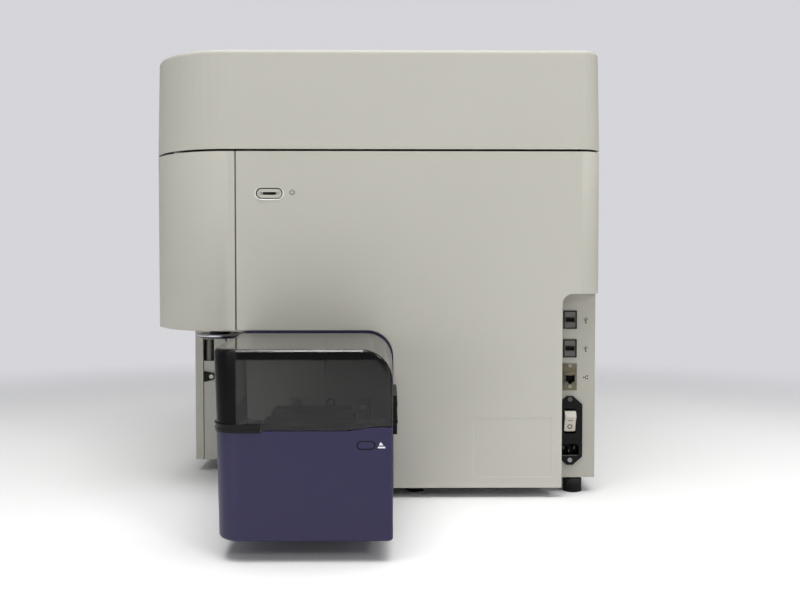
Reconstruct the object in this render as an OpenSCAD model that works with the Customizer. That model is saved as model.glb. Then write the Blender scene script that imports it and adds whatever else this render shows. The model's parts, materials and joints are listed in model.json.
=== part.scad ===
// Bench flow cytometer with a hinged top cover and a side plate loader.
// +Z is up, the front faces -Y and the loader stands out on +X.

/* [Housing] */
// Width of the housing over its side covers
body_w = 636; // [610:2:680]
// Depth of the housing from the front bow to the rear corners
body_d = 592; // [580:2:620]
// Height of the housing above the bench
body_h = 567; // [555:1:600]
// Height of the top cover
top_cover_h = 125; // [115:1:132]
// Shadow gap between the top cover and the housing
top_gap = 3; // [2.4:0.2:4]
// Wall thickness of the moulded covers
cover_wall = 4; // [3:0.5:5]
// Radius of the front corners, seen from above
front_corner_r = 110; // [95:1:125]
// Radius of the bowed front, seen from above
front_bow_r = 2400; // [2000:50:3000]
// Radius of the rear corners, seen from above
rear_corner_r = 27; // [22:1:32]
// How far the top cover's sides lean in over its height
top_draft = 2.5; // [1:0.5:4]
// Radius of the top cover's upper edge
top_edge_r = 6; // [4:1:9]
// Gap at the vertical seams between the covers
seam_gap = 2; // [1.5:0.5:3]
// Height of the chin, the lower edge of the front cover
chin_z = 214; // [212:1:218]
// Height of the side covers' lower edge
skirt_z = 13; // [10:1:16]

/* [Chassis] */
// Height of the rubber feet
foot_h = 20; // [18:1:24]
// Radius of the rubber feet
foot_r = 12; // [10:0.5:13]
// Thickness of the folded sheet parts
sheet_t = 2; // [1.5:0.5:2.5]
// Height of the optical bench's underside
bench_z = 300; // [298:1:306]
// Thickness of the optical bench
bench_t = 12; // [8:1:14]

/* [Sample bay] */
// Depth of the bay from the side cover inwards
bay_depth = 168; // [164:1:172]
// Setback of the front door behind the bowed front
door_setback = 42.5; // [40:0.5:46]
// Thickness of the front door
door_t = 11; // [10:0.5:13]
// Height of the front door's lower edge
door_z = 16; // [14:1:19]
// Radius of the sample port's head
port_head_r = 31; // [27:1:33]
// Radius of the door's pivot studs
stud_r = 3; // [2.5:0.25:4]

/* [Loader] */
// Reach of the loader beyond the side cover
loader_out = 261; // [255:1:275]
// Width of the loader at its nose
loader_w = 180; // [178:1:186]
// Extra width of the loader where it meets the housing
loader_flare = 9; // [5:1:10]
// Lean of the loader's front side over its whole height
loader_draft = 4.5; // [2:0.5:5]
// Height of the loader's underside
loader_z = 21; // [18:1:25]
// Height of the split between tub and lid
split_z = 131; // [129:0.5:134]
// Height of the loader lid's top
loader_top_z = 212; // [208:1:213]
// Radius of the loader's nose corner, seen from above
nose_r = 26; // [20:1:34]
// Radius of the loader lid's rounded shoulder
shoulder_r = 32; // [26:1:36]
// Wall thickness of the loader's tub and lid
loader_wall = 3; // [2.5:0.5:3.5]

/* [Stage] */
// Height of the loader's lead screw and rails
screw_z = 97; // [96:0.5:99]
// Radius of the lead screw
screw_r = 4; // [3:0.5:4.5]
// Radius of the long rails
rail_r = 5; // [4:0.5:6]
// Distance between the long rails
rail_pitch = 100; // [92:2:104]
// Length of a sample plate
plate_l = 127.8; // [126:0.1:129]
// Width of a sample plate
plate_w = 85.5; // [84:0.1:87]
// Stroke of the needle above the plate
needle_stroke = 20; // [12:1:22]

/* [Controls and sockets] */
// Length of the power button
button_l = 32; // [28:1:36]
// Height of the power button
button_h = 12.6; // [11:0.2:14]
// Length of the eject button
eject_l = 17; // [14:1:19]
// Height of the eject button
eject_h = 7.4; // [6:0.2:8]
// Depth of the socket recess behind the side cover
recess_depth = 28; // [26:1:32]
// Radius of the cooling fans' rotors
fan_r = 40; // [36:1:42]

/* [Hidden] */
$fn = 64;

// Housing planes
side_x = body_w / 2;
front_y = -body_d / 2;
rear_y = body_d / 2;
top_cover_z = body_h - top_cover_h;
cover_top_z = top_cover_z - top_gap;
corner_x = side_x - front_corner_r;
bow_y = front_y + front_bow_r;
corner_y = bow_y - sqrt(pow(front_bow_r - front_corner_r, 2) - corner_x * corner_x);
bow_edge = [corner_x, corner_y - bow_y] / norm([corner_x, corner_y - bow_y]) * front_bow_r + [0, bow_y];
seam_y = corner_y + 9.5;
inner_x = side_x - cover_wall;

// Rear hinge of the top cover
cover_hinge_y = rear_y - 2;
cover_hinge_z = cover_top_z + top_gap / 2;
cover_knuckle_r = 4;
cover_hinge_x = [-190, 190];
rear_proud = cover_hinge_y + cover_knuckle_r - rear_y;

// Loader planes, measured from the housing's right side
loader_x0 = side_x + 2;
loader_x1 = side_x + loader_out;
loader_y1 = 30;
loader_y0 = loader_y1 - loader_w;
flare_angle = atan(loader_flare / (loader_out - nose_r));
grip_proud = 2;

// The origin is under the middle of the whole part, loader included
origin_shift = [-(loader_out + grip_proud) / 2, -rear_proud / 2, 0];

// Sheet parts
pan_top = foot_h + sheet_t;
pan_front_y = seam_y - 58;
pan_rear_y = rear_y - 2.5 - sheet_t;
bay_x = side_x - bay_depth;
bay_back_y = loader_y1 + 4;
ceiling_z = chin_z - sheet_t;
door_y = front_y + door_setback;
door_back_y = door_y + door_t;
door_left_x = -side_x + 61.75;
door_top_z = ceiling_z - 4;
recess_x = side_x - recess_depth;
recess_y = rear_y - 50.5;
recess_z = 260;
socket_y = rear_y - 35.3;

bench_top = bench_z + bench_t;

// Loader mechanics
deck_z = 70;
deck_t = 6;
deck_top = deck_z + deck_t;
stage_y = loader_y1 - loader_w / 2 + 1;
carriage_x = side_x + 152;
cross_r = 4;
cross_z = screw_z + 19;
tray_z = cross_z + 5;
tray_travel = 31.5;
cross_half = plate_w / 2 + tray_travel + 5.75;
probe_x = side_x - 43;
run_clear = 0.08;
seat_clear = 0.3;
return_x = side_x - rear_corner_r - 8;
recess_wall_y = recess_y - 4.5;

// Moves a piece from housing coordinates to the part's own origin.
module placed() {
  translate(origin_shift) children();
}

// Axis-aligned block given by its lowest and highest corner.
module block(low, high) {
  translate(low) cube(high - low);
}

// Cylinder along X or Y, starting at a point.
module bar_x(start, length, r) {
  translate(start) rotate([0, 90, 0]) cylinder(h = length, r = r);
}

module bar_y(start, length, r) {
  translate(start) rotate([-90, 0, 0]) cylinder(h = length, r = r);
}

// Flat outline with full-round ends.
module slot_2d(length, height) {
  r = height / 2;
  square([length - height, height], center = true);
  for (side = [-1, 1]) translate([side * (length / 2 - r), 0]) circle(r = r);
}

// Flat rectangle with round corners.
module round_rect(size, r) {
  square([size.x - 2 * r, size.y], center = true);
  square([size.x, size.y - 2 * r], center = true);
  for (u = [-1, 1], v = [-1, 1])
    translate([u * (size.x / 2 - r), v * (size.y / 2 - r)]) circle(r = r);
}

// Stands a flat outline in a plane of constant X, its first axis along +Y, and thickens it along +X.
module on_side(x, depth) {
  translate([x, 0, 0]) rotate([90, 0, 90]) linear_extrude(depth) children();
}

// Plan outline of the housing, moved inwards by an inset.
module plan(inset = 0) {
  r = front_corner_r - inset;
  rr = rear_corner_r - inset;
  x = side_x - inset;
  y = rear_y - inset;
  edge = bow_edge - [0, bow_y];
  inner_edge = edge * (1 - inset / front_bow_r) + [0, bow_y];
  translate([-x, corner_y]) square([2 * x, y - rr - corner_y]);
  translate([-x + rr, corner_y]) square([2 * (x - rr), y - corner_y]);
  for (side = [-1, 1]) {
    translate([side * corner_x, corner_y]) circle(r = r, $fn = 128);
    translate([side * (x - rr), y - rr]) circle(r = rr);
  }
  polygon([
    [-corner_x, corner_y], [-inner_edge.x, inner_edge.y], [inner_edge.x, inner_edge.y], [corner_x, corner_y]
  ]);
  intersection() {
    translate([0, bow_y]) circle(r = front_bow_r - inset, $fn = 720);
    polygon([[-inner_edge.x, inner_edge.y + 1], [-inner_edge.x, inner_edge.y], [-inner_edge.x, front_y - 5],
      [inner_edge.x, front_y - 5], [inner_edge.x, inner_edge.y], [inner_edge.x, inner_edge.y + 1]]);
  }
}

// Shell of the covers between two heights.
module cover_shell(low, high) {
  translate([0, 0, low]) linear_extrude(high - low) difference() {
    plan();
    plan(cover_wall);
  }
}

// Points of an arc about a centre, both ends included.
function arc_points(centre, r, from, to, steps) =
  [for (i = [0:steps]) let (a = from + (to - from) * i / steps) centre + r * [cos(a), sin(a)]];

// Plan outline of the housing as points, for the leaning top cover.
bow_half_angle = asin(corner_x / (front_bow_r - front_corner_r));
function plan_ring(inset) = concat(
  arc_points([0, bow_y], front_bow_r - inset, -90 - bow_half_angle, -90 + bow_half_angle, 8),
  arc_points([corner_x, corner_y], front_corner_r - inset, -90 + bow_half_angle + 4, 0, 14),
  arc_points([side_x - rear_corner_r, rear_y - rear_corner_r], rear_corner_r - inset, 0, 90, 7),
  arc_points([-side_x + rear_corner_r, rear_y - rear_corner_r], rear_corner_r - inset, 90, 180, 7),
  arc_points([-corner_x, corner_y], front_corner_r - inset, 180, 270 - bow_half_angle - 4, 14)
);

// Solid between stacked rings of points, each given with its height.
module loft(rings, heights) {
  n = len(rings[0]);
  levels = len(rings);
  points = [for (k = [0:levels - 1], p = rings[k]) [p.x, p.y, heights[k]]];
  sides = [for (k = [0:levels - 2], i = [0:n - 1])
    [k * n + i, (k + 1) * n + i, (k + 1) * n + (i + 1) % n, k * n + (i + 1) % n]];
  polyhedron(
    points = points,
    faces = concat([[for (i = [0:n - 1]) i]], sides, [[for (i = [n - 1:-1:0]) (levels - 1) * n + i]]),
    convexity = 6
  );
}

// Outside of the top cover or, with a wall, its hollow.
module top_cover_form(wall) {
  lean = top_draft / (top_cover_h - top_edge_r);
  r = top_edge_r - min(wall, top_edge_r - 2);
  straight = body_h - wall - r - top_cover_z;
  steps = 6;
  insets = concat([wall, wall + lean * straight],
    [for (i = [1:steps]) wall + lean * straight + r * (1 - cos(90 * i / steps))]);
  heights = concat([top_cover_z, top_cover_z + straight],
    [for (i = [1:steps]) top_cover_z + straight + r * sin(90 * i / steps)]);
  loft([for (inset = insets) plan_ring(inset)], heights);
}

// Landing points of the top cover, over the front corners of the upper frame.
frame_z = cover_top_z - 8;
landing_z = frame_z + sheet_t + 2;
landing_r = 6.5;
landing_spots = [for (side = [-1, 1])
  [side * (corner_x + (front_corner_r - 12) * cos(45)), corner_y - (front_corner_r - 12) * sin(45)]];

module top_cover() {
  color([0.75, 0.74, 0.70]) {
    difference() {
      top_cover_form(0);
      translate([0, 0, -0.01]) top_cover_form(cover_wall);
      for (x = cover_hinge_x)
        block([x - 34, cover_hinge_y - 8, top_cover_z - 1],
          [x + 34, rear_y + 1, cover_hinge_z + cover_knuckle_r + 2]);
    }
    for (spot = landing_spots) translate([spot.x, spot.y, 0]) {
      translate([0, 0, landing_z + seat_clear]) cylinder(h = 40, r = landing_r);
      translate([0, 0, top_cover_z]) rotate([0, 0, spot.x > 0 ? -45 : -135])
        translate([0, -2, 0]) cube([10, 4, 33]);
    }
  }
}

// Ring that stiffens the housing under the top cover.
module upper_frame() {
  color("gainsboro") {
    translate([0, 0, frame_z]) linear_extrude(sheet_t) difference() {
      intersection() {
        plan(cover_wall + seat_clear);
        translate([-side_x, front_y]) square([body_w, pan_rear_y - 2.5 - front_y]);
      }
      intersection() {
        plan(24);
        translate([-side_x, front_y]) square([body_w, pan_rear_y - 22 - front_y]);
      }
    }
    for (spot = landing_spots)
      translate([spot.x, spot.y, frame_z + sheet_t]) cylinder(h = 2, r = landing_r - 1);
  }
}

// Hinge leaf on the cover with its middle knuckle.
module cover_hinge_upper() {
  color("silver") for (x = cover_hinge_x) difference() {
    union() {
      block([x - 9.8, cover_hinge_y - 5.5, cover_hinge_z], [x + 9.8, cover_hinge_y - 3, cover_hinge_z + 38]);
      block([x - 9.8, cover_hinge_y - 4, cover_hinge_z],
        [x + 9.8, cover_hinge_y, cover_hinge_z + cover_knuckle_r]);
      bar_x([x - 9.8, cover_hinge_y, cover_hinge_z], 19.6, cover_knuckle_r);
    }
    bar_x([x - 10, cover_hinge_y, cover_hinge_z], 20, 2 + run_clear);
  }
}

// Hinge leaf on the rear panel with its outer knuckles and the pin.
module cover_hinge_lower() {
  color("silver") for (x = cover_hinge_x) {
    for (side = [-1, 1]) {
      centre = x + side * 20;
      bar_x([centre - 9.8, cover_hinge_y, cover_hinge_z], 19.6, cover_knuckle_r);
      block([centre - 9.8, pan_rear_y - 2.2, cover_top_z - 3.7],
        [centre + 9.8, cover_hinge_y, cover_hinge_z - 2]);
    }
    bar_x([x - 29.8, cover_hinge_y, cover_hinge_z], 59.6, 2);
    block([x - 29.8, pan_rear_y - 2.2, cover_top_z - 32], [x + 29.8, pan_rear_y - 0.2, cover_top_z - 1.5]);
  }
}

// Opening for the loader in the right side cover, as a flat outline in Y and Z.
module loader_opening_2d() {
  top = loader_top_z + 2;
  right = loader_y1 + 1.5;
  r = shoulder_r + 1;
  translate([seam_y - 40, 0]) square([right - r - seam_y + 40, top]);
  translate([seam_y - 40, 0]) square([right - seam_y + 40, top - r]);
  translate([right - r, top - r]) circle(r = r);
}

// Notch for the sockets in the right side cover, open at the rear and below.
module socket_notch_2d() {
  r = 14;
  translate([recess_y + r, 0]) square([rear_y, recess_z]);
  translate([recess_y, 0]) square([rear_y, recess_z - r]);
  translate([recess_y + r, recess_z - r]) circle(r = r);
}

power_button_y = seam_y + 42.5;
power_button_z = cover_top_z - 52.9;
label_recess = [100, 76];
label_recess_at = [rear_y - 112.7, 64.8];

module side_cover_blank() {
  intersection() {
    cover_shell(skirt_z, cover_top_z);
    block([0, seam_y + seam_gap / 2, 0], [side_x + 1, rear_y + 1, body_h]);
  }
}

module rear_return_cut() {
  block([-1, rear_y - rear_corner_r - 0.5, 0], [return_x, rear_y + 1, body_h]);
}

module right_side_cover() {
  color([0.72, 0.72, 0.66]) difference() {
    side_cover_blank();
    rear_return_cut();
    on_side(inner_x - 30, 60) loader_opening_2d();
    on_side(inner_x - 60, 100) socket_notch_2d();
    on_side(inner_x - 1, cover_wall + 2)
      translate([power_button_y, power_button_z]) slot_2d(button_l + 2, button_h + 2);
    on_side(side_x - 0.6, 2) translate(label_recess_at) round_rect(label_recess, 2);
  }
}

module left_side_cover() {
  color([0.72, 0.72, 0.66]) mirror([1, 0, 0]) difference() {
    side_cover_blank();
    rear_return_cut();
  }
}

module front_cover() {
  color([0.72, 0.72, 0.68]) intersection() {
    union() {
      cover_shell(chin_z, cover_top_z);
      translate([0, 0, chin_z]) linear_extrude(3) difference() {
        plan();
        plan(14);
      }
    }
    block([-side_x - 1, front_y - 1, 0], [side_x + 1, seam_y - seam_gap / 2, body_h]);
  }
}

// Lower left front corner, between the side cover and the door, with the door's lower pivot lug.
module corner_cover() {
  r = 60;
  centre = [-side_x + r, door_y + r];
  color([0.72, 0.72, 0.66]) difference() {
    union() {
      translate([0, 0, skirt_z]) linear_extrude(ceiling_z - skirt_z) difference() {
        union() {
          translate(centre) circle(r = r);
          translate([-side_x, centre.y]) square([r, seam_y - seam_gap / 2 - centre.y]);
        }
        translate(centre) circle(r = r - cover_wall);
        translate([-side_x + cover_wall, centre.y - 1]) square([2 * r, 200]);
        translate(centre + [0, -r - 1]) square([r + 1, 2 * r]);
      }
      block([centre.x - 8, door_y + 0.8, skirt_z], [door_pivot.x + 7, door_back_y + 1, door_z - seat_clear]);
    }
    translate([door_pivot.x, door_pivot.y, skirt_z - 1]) cylinder(h = 5, r = stud_r + run_clear);
  }
}

// Base tray with upturned edges, cut away under the open bay and round the sockets.
module pan_plan(inset) {
  left = -inner_x + seat_clear + inset;
  bay_edge = bay_x - sheet_t - inset;
  intersection() {
    plan(cover_wall + seat_clear + inset);
    union() {
      translate([left - 1, seam_y + inset])
        square([2 * inner_x, recess_wall_y - sheet_t - seat_clear - seam_y - 2 * inset]);
      translate([left - 1, seam_y + inset])
        square([recess_x - sheet_t - seat_clear - inset - left + 1, pan_rear_y - seam_y - 2 * inset]);
      translate([left + 15, pan_front_y + inset]) square([bay_edge - left - 15, seam_y - pan_front_y + 10]);
      translate([left, corner_y - 13 + inset]) square([bay_edge - left, seam_y - corner_y + 20]);
    }
  }
}

module base_pan() {
  color("gainsboro") difference() {
    translate([0, 0, foot_h]) linear_extrude(16) pan_plan(0);
    translate([0, 0, pan_top]) linear_extrude(20) pan_plan(sheet_t);
    block([bay_x - 20, seam_y - 5, pan_top], [side_x, seam_y + 4, 60]);
    block([inner_x - 6, seam_y, pan_top], [side_x, bay_back_y + 4, 60]);
  }
}

foot_spots = [
  [side_x - 40, rear_y - 29], [-side_x + 40, rear_y - 29], [-side_x + 58, seam_y - 30],
  [bay_x - 25, seam_y - 38], [side_x - 44, 60]
];

module rubber_feet() {
  color([0.12, 0.12, 0.12]) for (spot = foot_spots)
    translate([spot.x, spot.y, 0]) {
      cylinder(h = foot_h - 3, r = foot_r);
      translate([0, 0, foot_h - 3]) cylinder(h = 3, r = foot_r - 1.5);
    }
}

fan_x = [-150, -45];
fan_z = 230;
vent_rows = 5;

module rear_panel() {
  color("gainsboro") difference() {
    union() {
      block([-return_x + seat_clear, pan_rear_y, foot_h],
        [return_x - seat_clear, pan_rear_y + sheet_t, cover_top_z - 4]);
      block([0, pan_rear_y, foot_h], [recess_x - sheet_t - seat_clear, pan_rear_y + sheet_t, recess_z]);
    }
    for (x = fan_x) bar_y([x, pan_rear_y - 1, fan_z], sheet_t + 2, fan_r + 1);
    for (row = [0:vent_rows - 1], column = [0:5])
      translate([-235 + column * 30, pan_rear_y - 1, 50 + row * 12]) rotate([-90, 0, 0])
        linear_extrude(sheet_t + 2) slot_2d(22, 5);
  }
}

module fan_frames() {
  side = 2 * fan_r + 12;
  color([0.15, 0.15, 0.16]) for (x = fan_x) difference() {
    union() {
      block([x - side / 2, pan_rear_y - 25, fan_z - side / 2], [x + side / 2, pan_rear_y, fan_z + side / 2]);
      // wire guard outside the panel
      for (r = [fan_r - 24, fan_r - 12, fan_r])
        translate([x, pan_rear_y + sheet_t, fan_z]) rotate([-90, 0, 0]) difference() {
          cylinder(h = 2, r = r + 1);
          translate([0, 0, -1]) cylinder(h = 4, r = r - 1);
        }
    }
    bar_y([x, pan_rear_y - 26, fan_z], 26, fan_r + 1);
  }
  color("silver") for (x = fan_x) {
    for (angle = [45:90:315]) translate([x, pan_rear_y + sheet_t, fan_z]) rotate([0, angle, 0])
      translate([fan_r - 26, 0, -1]) cube([27, 2, 2]);
    difference() {
      bar_y([x, pan_rear_y - 6, fan_z], 6, 16);
      bar_y([x, pan_rear_y - 7, fan_z], 6, 2 + run_clear);
    }
    for (angle = [0:90:270]) translate([x, pan_rear_y - 5, fan_z]) rotate([0, angle, 0])
      translate([14, 0, -2]) cube([fan_r - 12, 4, 4]);
  }
}

// Hub with pitched blades, clear of the frame.
module fan_rotor(x) {
  blades = 7;
  translate([x, pan_rear_y - 22, fan_z]) {
    rotate([-90, 0, 0]) cylinder(h = 15, r = 17);
    rotate([-90, 0, 0]) cylinder(h = 20, r = 2);
    intersection() {
      for (i = [0:blades - 1]) rotate([0, 360 / blades * i, 0]) translate([16, 7.5, 0]) rotate([38, 0, 0])
        translate([0, -0.9, -10]) cube([fan_r - 17.5, 1.8, 20]);
      rotate([-90, 0, 0]) cylinder(h = 15, r = fan_r - 1.5);
    }
  }
}

module left_fan_rotor() {
  color([0.1, 0.1, 0.1]) fan_rotor(fan_x[0]);
}

module right_fan_rotor() {
  color([0.1, 0.1, 0.1]) fan_rotor(fan_x[1]);
}

solenoid_r = 7.5;
solenoid_at = [bay_x - solenoid_r - 2.5, door_back_y + solenoid_r + 0.8];
port_head_at = [bay_x + 48, seam_y - 42];

// Sheet liner of the sample bay: inner wall, back wall and a shelf over the whole front.
module bay_liner() {
  color([0.62, 0.62, 0.58]) difference() {
    union() {
      block([bay_x - sheet_t, door_back_y + 1.2, door_z], [bay_x, bay_back_y + sheet_t, ceiling_z]);
      block([bay_x - sheet_t, bay_back_y, pan_top], [inner_x - seat_clear, bay_back_y + sheet_t, ceiling_z]);
      translate([0, 0, ceiling_z]) linear_extrude(sheet_t) intersection() {
        plan(8);
        union() {
          translate([-side_x, front_y - 10]) square([2 * side_x, seam_y - front_y + 10]);
          translate([bay_x - sheet_t, front_y - 10]) square([side_x, bay_back_y + sheet_t - front_y + 10]);
        }
      }
    }
    // clearance over the base tray
    block([bay_x - sheet_t - 1, seam_y, door_z - 1], [bay_x + 1, bay_back_y + 5, pan_top]);
    block([bay_x - 5, door_back_y, 158.7], [bay_x + 5, solenoid_at.y + solenoid_r, 190]);
    translate([port_head_at.x, port_head_at.y, ceiling_z - 1]) cylinder(h = sheet_t + 2, r = 12 + seat_clear);
    translate([door_pivot.x, door_pivot.y, ceiling_z - 1]) cylinder(h = sheet_t + 2, r = stud_r + run_clear);
    translate([probe_x, stage_y, ceiling_z - 1]) cylinder(h = sheet_t + 2, r = 5);
    bar_x([bay_x - 5, stage_y, screw_z], 10, screw_r + 3);
    bar_x([bay_x - 5, catch_screw.x, catch_screw.y], 10, 1.6);
  }
}

// Black plate that the door closes against, with one screw through its round end.
catch_screw = [door_back_y + 12.3, 136.3];
module door_catch() {
  y = door_back_y + 1.3;
  end_r = 5.4;
  color([0.1, 0.1, 0.1]) translate([bay_x, 0, 0]) difference() {
    on_side(0, 2.5) {
      polygon([[y, catch_screw.y - 8], [catch_screw.x, catch_screw.y - end_r],
        [catch_screw.x, catch_screw.y + end_r], [y, catch_screw.y + 8]]);
      translate(catch_screw) circle(r = end_r);
    }
    bar_x([-1, catch_screw.x, catch_screw.y], 5, 1.6);
  }
}

module door_solenoid() {
  color([0.25, 0.25, 0.26]) {
    translate([solenoid_at.x, solenoid_at.y, 150]) cylinder(h = 44, r = solenoid_r);
    block([solenoid_at.x - 12, solenoid_at.y, 146], [bay_x - sheet_t, solenoid_at.y + 9, 150]);
    block([solenoid_at.x - 12, solenoid_at.y, 194], [bay_x - sheet_t, solenoid_at.y + 9, 198]);
  }
}

// Turned port head hung from the bay's ceiling, with its tube probe drawn up into it.
port_disc_z = ceiling_z - 16;
probe_tip = 5.7;
module sample_port_head() {
  r = port_head_r;
  z = port_disc_z;
  translate([port_head_at.x, port_head_at.y, 0]) color([0.12, 0.10, 0.2]) {
    rotate_extrude($fn = 96) polygon(concat(
      [[0, z], [r - 2, z]],
      arc_points([r - 2.5, z + 2.5], 2.5, -80, 80, 8),
      [[16, z + 6], [14, z + 9], [12, z + 11], [12, ceiling_z + 12], [0, ceiling_z + 12]]
    ));
    translate([0, 8.3, z - probe_tip]) cylinder(h = probe_tip + 1, r = 1.3);
    translate([0, 0, ceiling_z + sheet_t]) cylinder(h = 10, r = 20);
  }
}

// Door with a full-round hinge edge and pivot studs above and below.
door_pivot = [door_left_x + door_t / 2, door_y + door_t / 2];
module front_door() {
  color([0.62, 0.62, 0.58]) difference() {
    union() {
      block([door_pivot.x, door_y, door_z], [bay_x, door_back_y, door_top_z]);
      translate([door_pivot.x, door_pivot.y, door_z]) cylinder(h = door_top_z - door_z, r = door_t / 2);
      translate([door_pivot.x, door_pivot.y, skirt_z]) cylinder(h = door_z - skirt_z, r = stud_r);
      translate([door_pivot.x, door_pivot.y, door_top_z])
        cylinder(h = ceiling_z - door_top_z + 2, r = stud_r);
    }
    block([door_pivot.x + 24, door_y + 3, door_z + 8], [bay_x - 12, door_back_y + 1, door_top_z - 8]);
    block([bay_x - 40, door_y - 1, 108], [bay_x - 28, door_y + 2, 138]);
  }
}

usb_z = [225.5, 188.3];
network_z = 151.3;
network_screws = [-12.4, 14.6];
inlet_z = 81.5;
inlet_screws = [-38.2, 41];

// Recessed sheet panel with its side wall and its roof.
module socket_panel() {
  x = recess_x;
  wall_y = recess_wall_y;
  color([0.66, 0.65, 0.61]) difference() {
    union() {
      block([x - sheet_t, wall_y - sheet_t, foot_h], [x, rear_y - 2.5, recess_z]);
      block([x - sheet_t, wall_y - sheet_t, foot_h], [inner_x - seat_clear, wall_y, recess_z]);
      translate([0, 0, recess_z]) linear_extrude(sheet_t) intersection() {
        plan(cover_wall + seat_clear);
        translate([x - sheet_t, wall_y - sheet_t]) square([60, pan_rear_y - seat_clear - wall_y + sheet_t]);
      }
    }
    for (z = usb_z) on_side(x - 10, 20) translate([socket_y, z]) square([15, 21], center = true);
    on_side(x - 10, 20) translate([socket_y, network_z]) square([15, 22], center = true);
    on_side(x - 10, 20) translate([socket_y, inlet_z]) square([28, 66], center = true);
    for (dz = network_screws) bar_x([x - 10, socket_y, network_z + dz], 20, 1.6);
    for (dz = inlet_screws) bar_x([x - 10, socket_y, inlet_z + dz], 20, 1.6);
  }
}

// Snap-in data sockets, each with a flat mouth and a contact tongue.
module usb_ports() {
  mouth = [12.6, 6.8];
  for (z = usb_z) {
    color([0.13, 0.13, 0.14]) difference() {
      union() {
        on_side(recess_x, 1.5) translate([socket_y, z]) round_rect([17.3, 23.6], 0.8);
        on_side(recess_x - 16, 16) translate([socket_y, z]) square([14.6, 20.6], center = true);
      }
      on_side(recess_x - 12, 16) translate([socket_y, z]) square(mouth, center = true);
    }
    color("silver") on_side(recess_x - 12, 10)
      translate([socket_y, z + mouth.y / 2 - 1.2]) square([11, 1.6], center = true);
  }
}

module network_port() {
  z = network_z;
  color([0.62, 0.6, 0.5]) difference() {
    union() {
      on_side(recess_x, 1.5) translate([socket_y, z]) round_rect([18, 35], 1);
      on_side(recess_x - 16, 16) translate([socket_y, z]) square([14.6, 21.6], center = true);
      on_side(recess_x, 3) translate([socket_y, z - 1]) square([15.4, 16], center = true);
    }
    on_side(recess_x - 12, 20) {
      translate([socket_y, z - 1.5]) square([11.8, 7.4], center = true);
      translate([socket_y, z - 6]) square([6, 4], center = true);
      translate([socket_y, z - 7.6]) square([3.4, 3], center = true);
    }
    for (dz = network_screws) bar_x([recess_x - 10, socket_y, z + dz], 20, 1.6);
  }
}

rocker_z = inlet_z + 12.3;
rocker_size = [14.4, 27.6];

// Appliance inlet with a pointed flange, a pin cup and a window for the rocker.
module power_inlet() {
  half_w = 16.2;
  half_h = 44.8;
  shoulder = 34;
  cup_z = inlet_z - 25;
  color([0.1, 0.1, 0.11]) difference() {
    union() {
      on_side(recess_x, 3) translate([socket_y, inlet_z]) polygon([
        [-half_w, -shoulder], [-4, -half_h], [4, -half_h], [half_w, -shoulder],
        [half_w, shoulder], [4, half_h], [-4, half_h], [-half_w, shoulder]
      ]);
      on_side(recess_x - 28, 28) translate([socket_y, inlet_z]) square([27.4, 65], center = true);
    }
    on_side(recess_x - 18, 30) translate([socket_y, cup_z]) polygon([
      [-12, -8.2], [12, -8.2], [12, 4], [7.5, 8.2], [-7.5, 8.2], [-12, 4]
    ]);
    on_side(recess_x - 16, 30) translate([socket_y, rocker_z])
      square([rocker_size.x + 0.6, rocker_size.y + 5], center = true);
    for (dz = inlet_screws) bar_x([recess_x - 1, socket_y, inlet_z + dz], 10, 1.6);
  }
}

module inlet_pins() {
  cup_z = inlet_z - 25;
  color("silver") for (spot = [[-7, 1.5], [0, -2.5], [7, 1.5]])
    on_side(recess_x - 18, 15) translate([socket_y, cup_z] + spot) square([1.4, 4], center = true);
}

module screw_at(x, y, z, r) {
  bar_x([x, y, z], 1.4, r);
  bar_x([x - 4, y, z], 4.2, 1.5);
}

module panel_screws() {
  color("silver") {
    for (dz = inlet_screws) screw_at(recess_x + 3, socket_y, inlet_z + dz, 2.8);
    for (dz = network_screws) screw_at(recess_x + 1.5, socket_y, network_z + dz, 2.4);
    screw_at(bay_x + 2.5, catch_screw.x, catch_screw.y, 3);
  }
}

// Rocker with its upper half standing out, turning about a line behind the flange.
rocker_pivot_x = recess_x - 4;
module power_rocker() {
  half = rocker_size.y / 2;
  color([0.9, 0.89, 0.84]) translate([rocker_pivot_x, socket_y + rocker_size.x / 2, rocker_z])
    rotate([90, 0, 0]) linear_extrude(rocker_size.x) polygon([
      [-5, -half * 0.8], [0, -half], [5.4, -half + 0.4], [7.6, -half * 0.35], [10.6, half * 0.18],
      [13.2, half * 0.36], [13.9, half * 0.46], [13.2, half * 0.58], [9.6, half - 0.6], [0, half - 0.4],
      [-5, half * 0.7]
    ]);
}

// Stadium button that slides in its socket.
module power_button() {
  x = side_x - 0.8;
  color([0.74, 0.73, 0.70]) translate([0, power_button_y, power_button_z]) difference() {
    union() {
      on_side(x - 8, 8) slot_2d(button_l, button_h);
      on_side(inner_x - 6.5, 2.5) slot_2d(button_l + 4, button_h + 4);
    }
    on_side(x - 1.2, 3) slot_2d(17, 3.6);
  }
}

module power_lens() {
  color([0.1, 0.1, 0.1]) translate([0, power_button_y, power_button_z])
    on_side(side_x - 2, 0.8) slot_2d(16.8, 3.4);
}

module button_socket() {
  color([0.3, 0.3, 0.3]) translate([0, power_button_y, power_button_z]) difference() {
    on_side(inner_x - 14, 13.7) round_rect([button_l + 14, button_h + 14], 4);
    on_side(inner_x - 9, 10) slot_2d(button_l + 4.6, button_h + 4.6);
  }
}

module optical_bench() {
  x = inner_x - 22;
  pitch = 50;
  color([0.35, 0.36, 0.38]) difference() {
    block([-x, seam_y + 12, bench_z], [x, pan_rear_y - 28, bench_z + bench_t]);
    for (i = [-5:5], j = [0:7])
      translate([i * pitch, seam_y + 37 + j * pitch, bench_top - 8]) cylinder(h = 10, r = 2.5, $fn = 16);
  }
}

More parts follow.
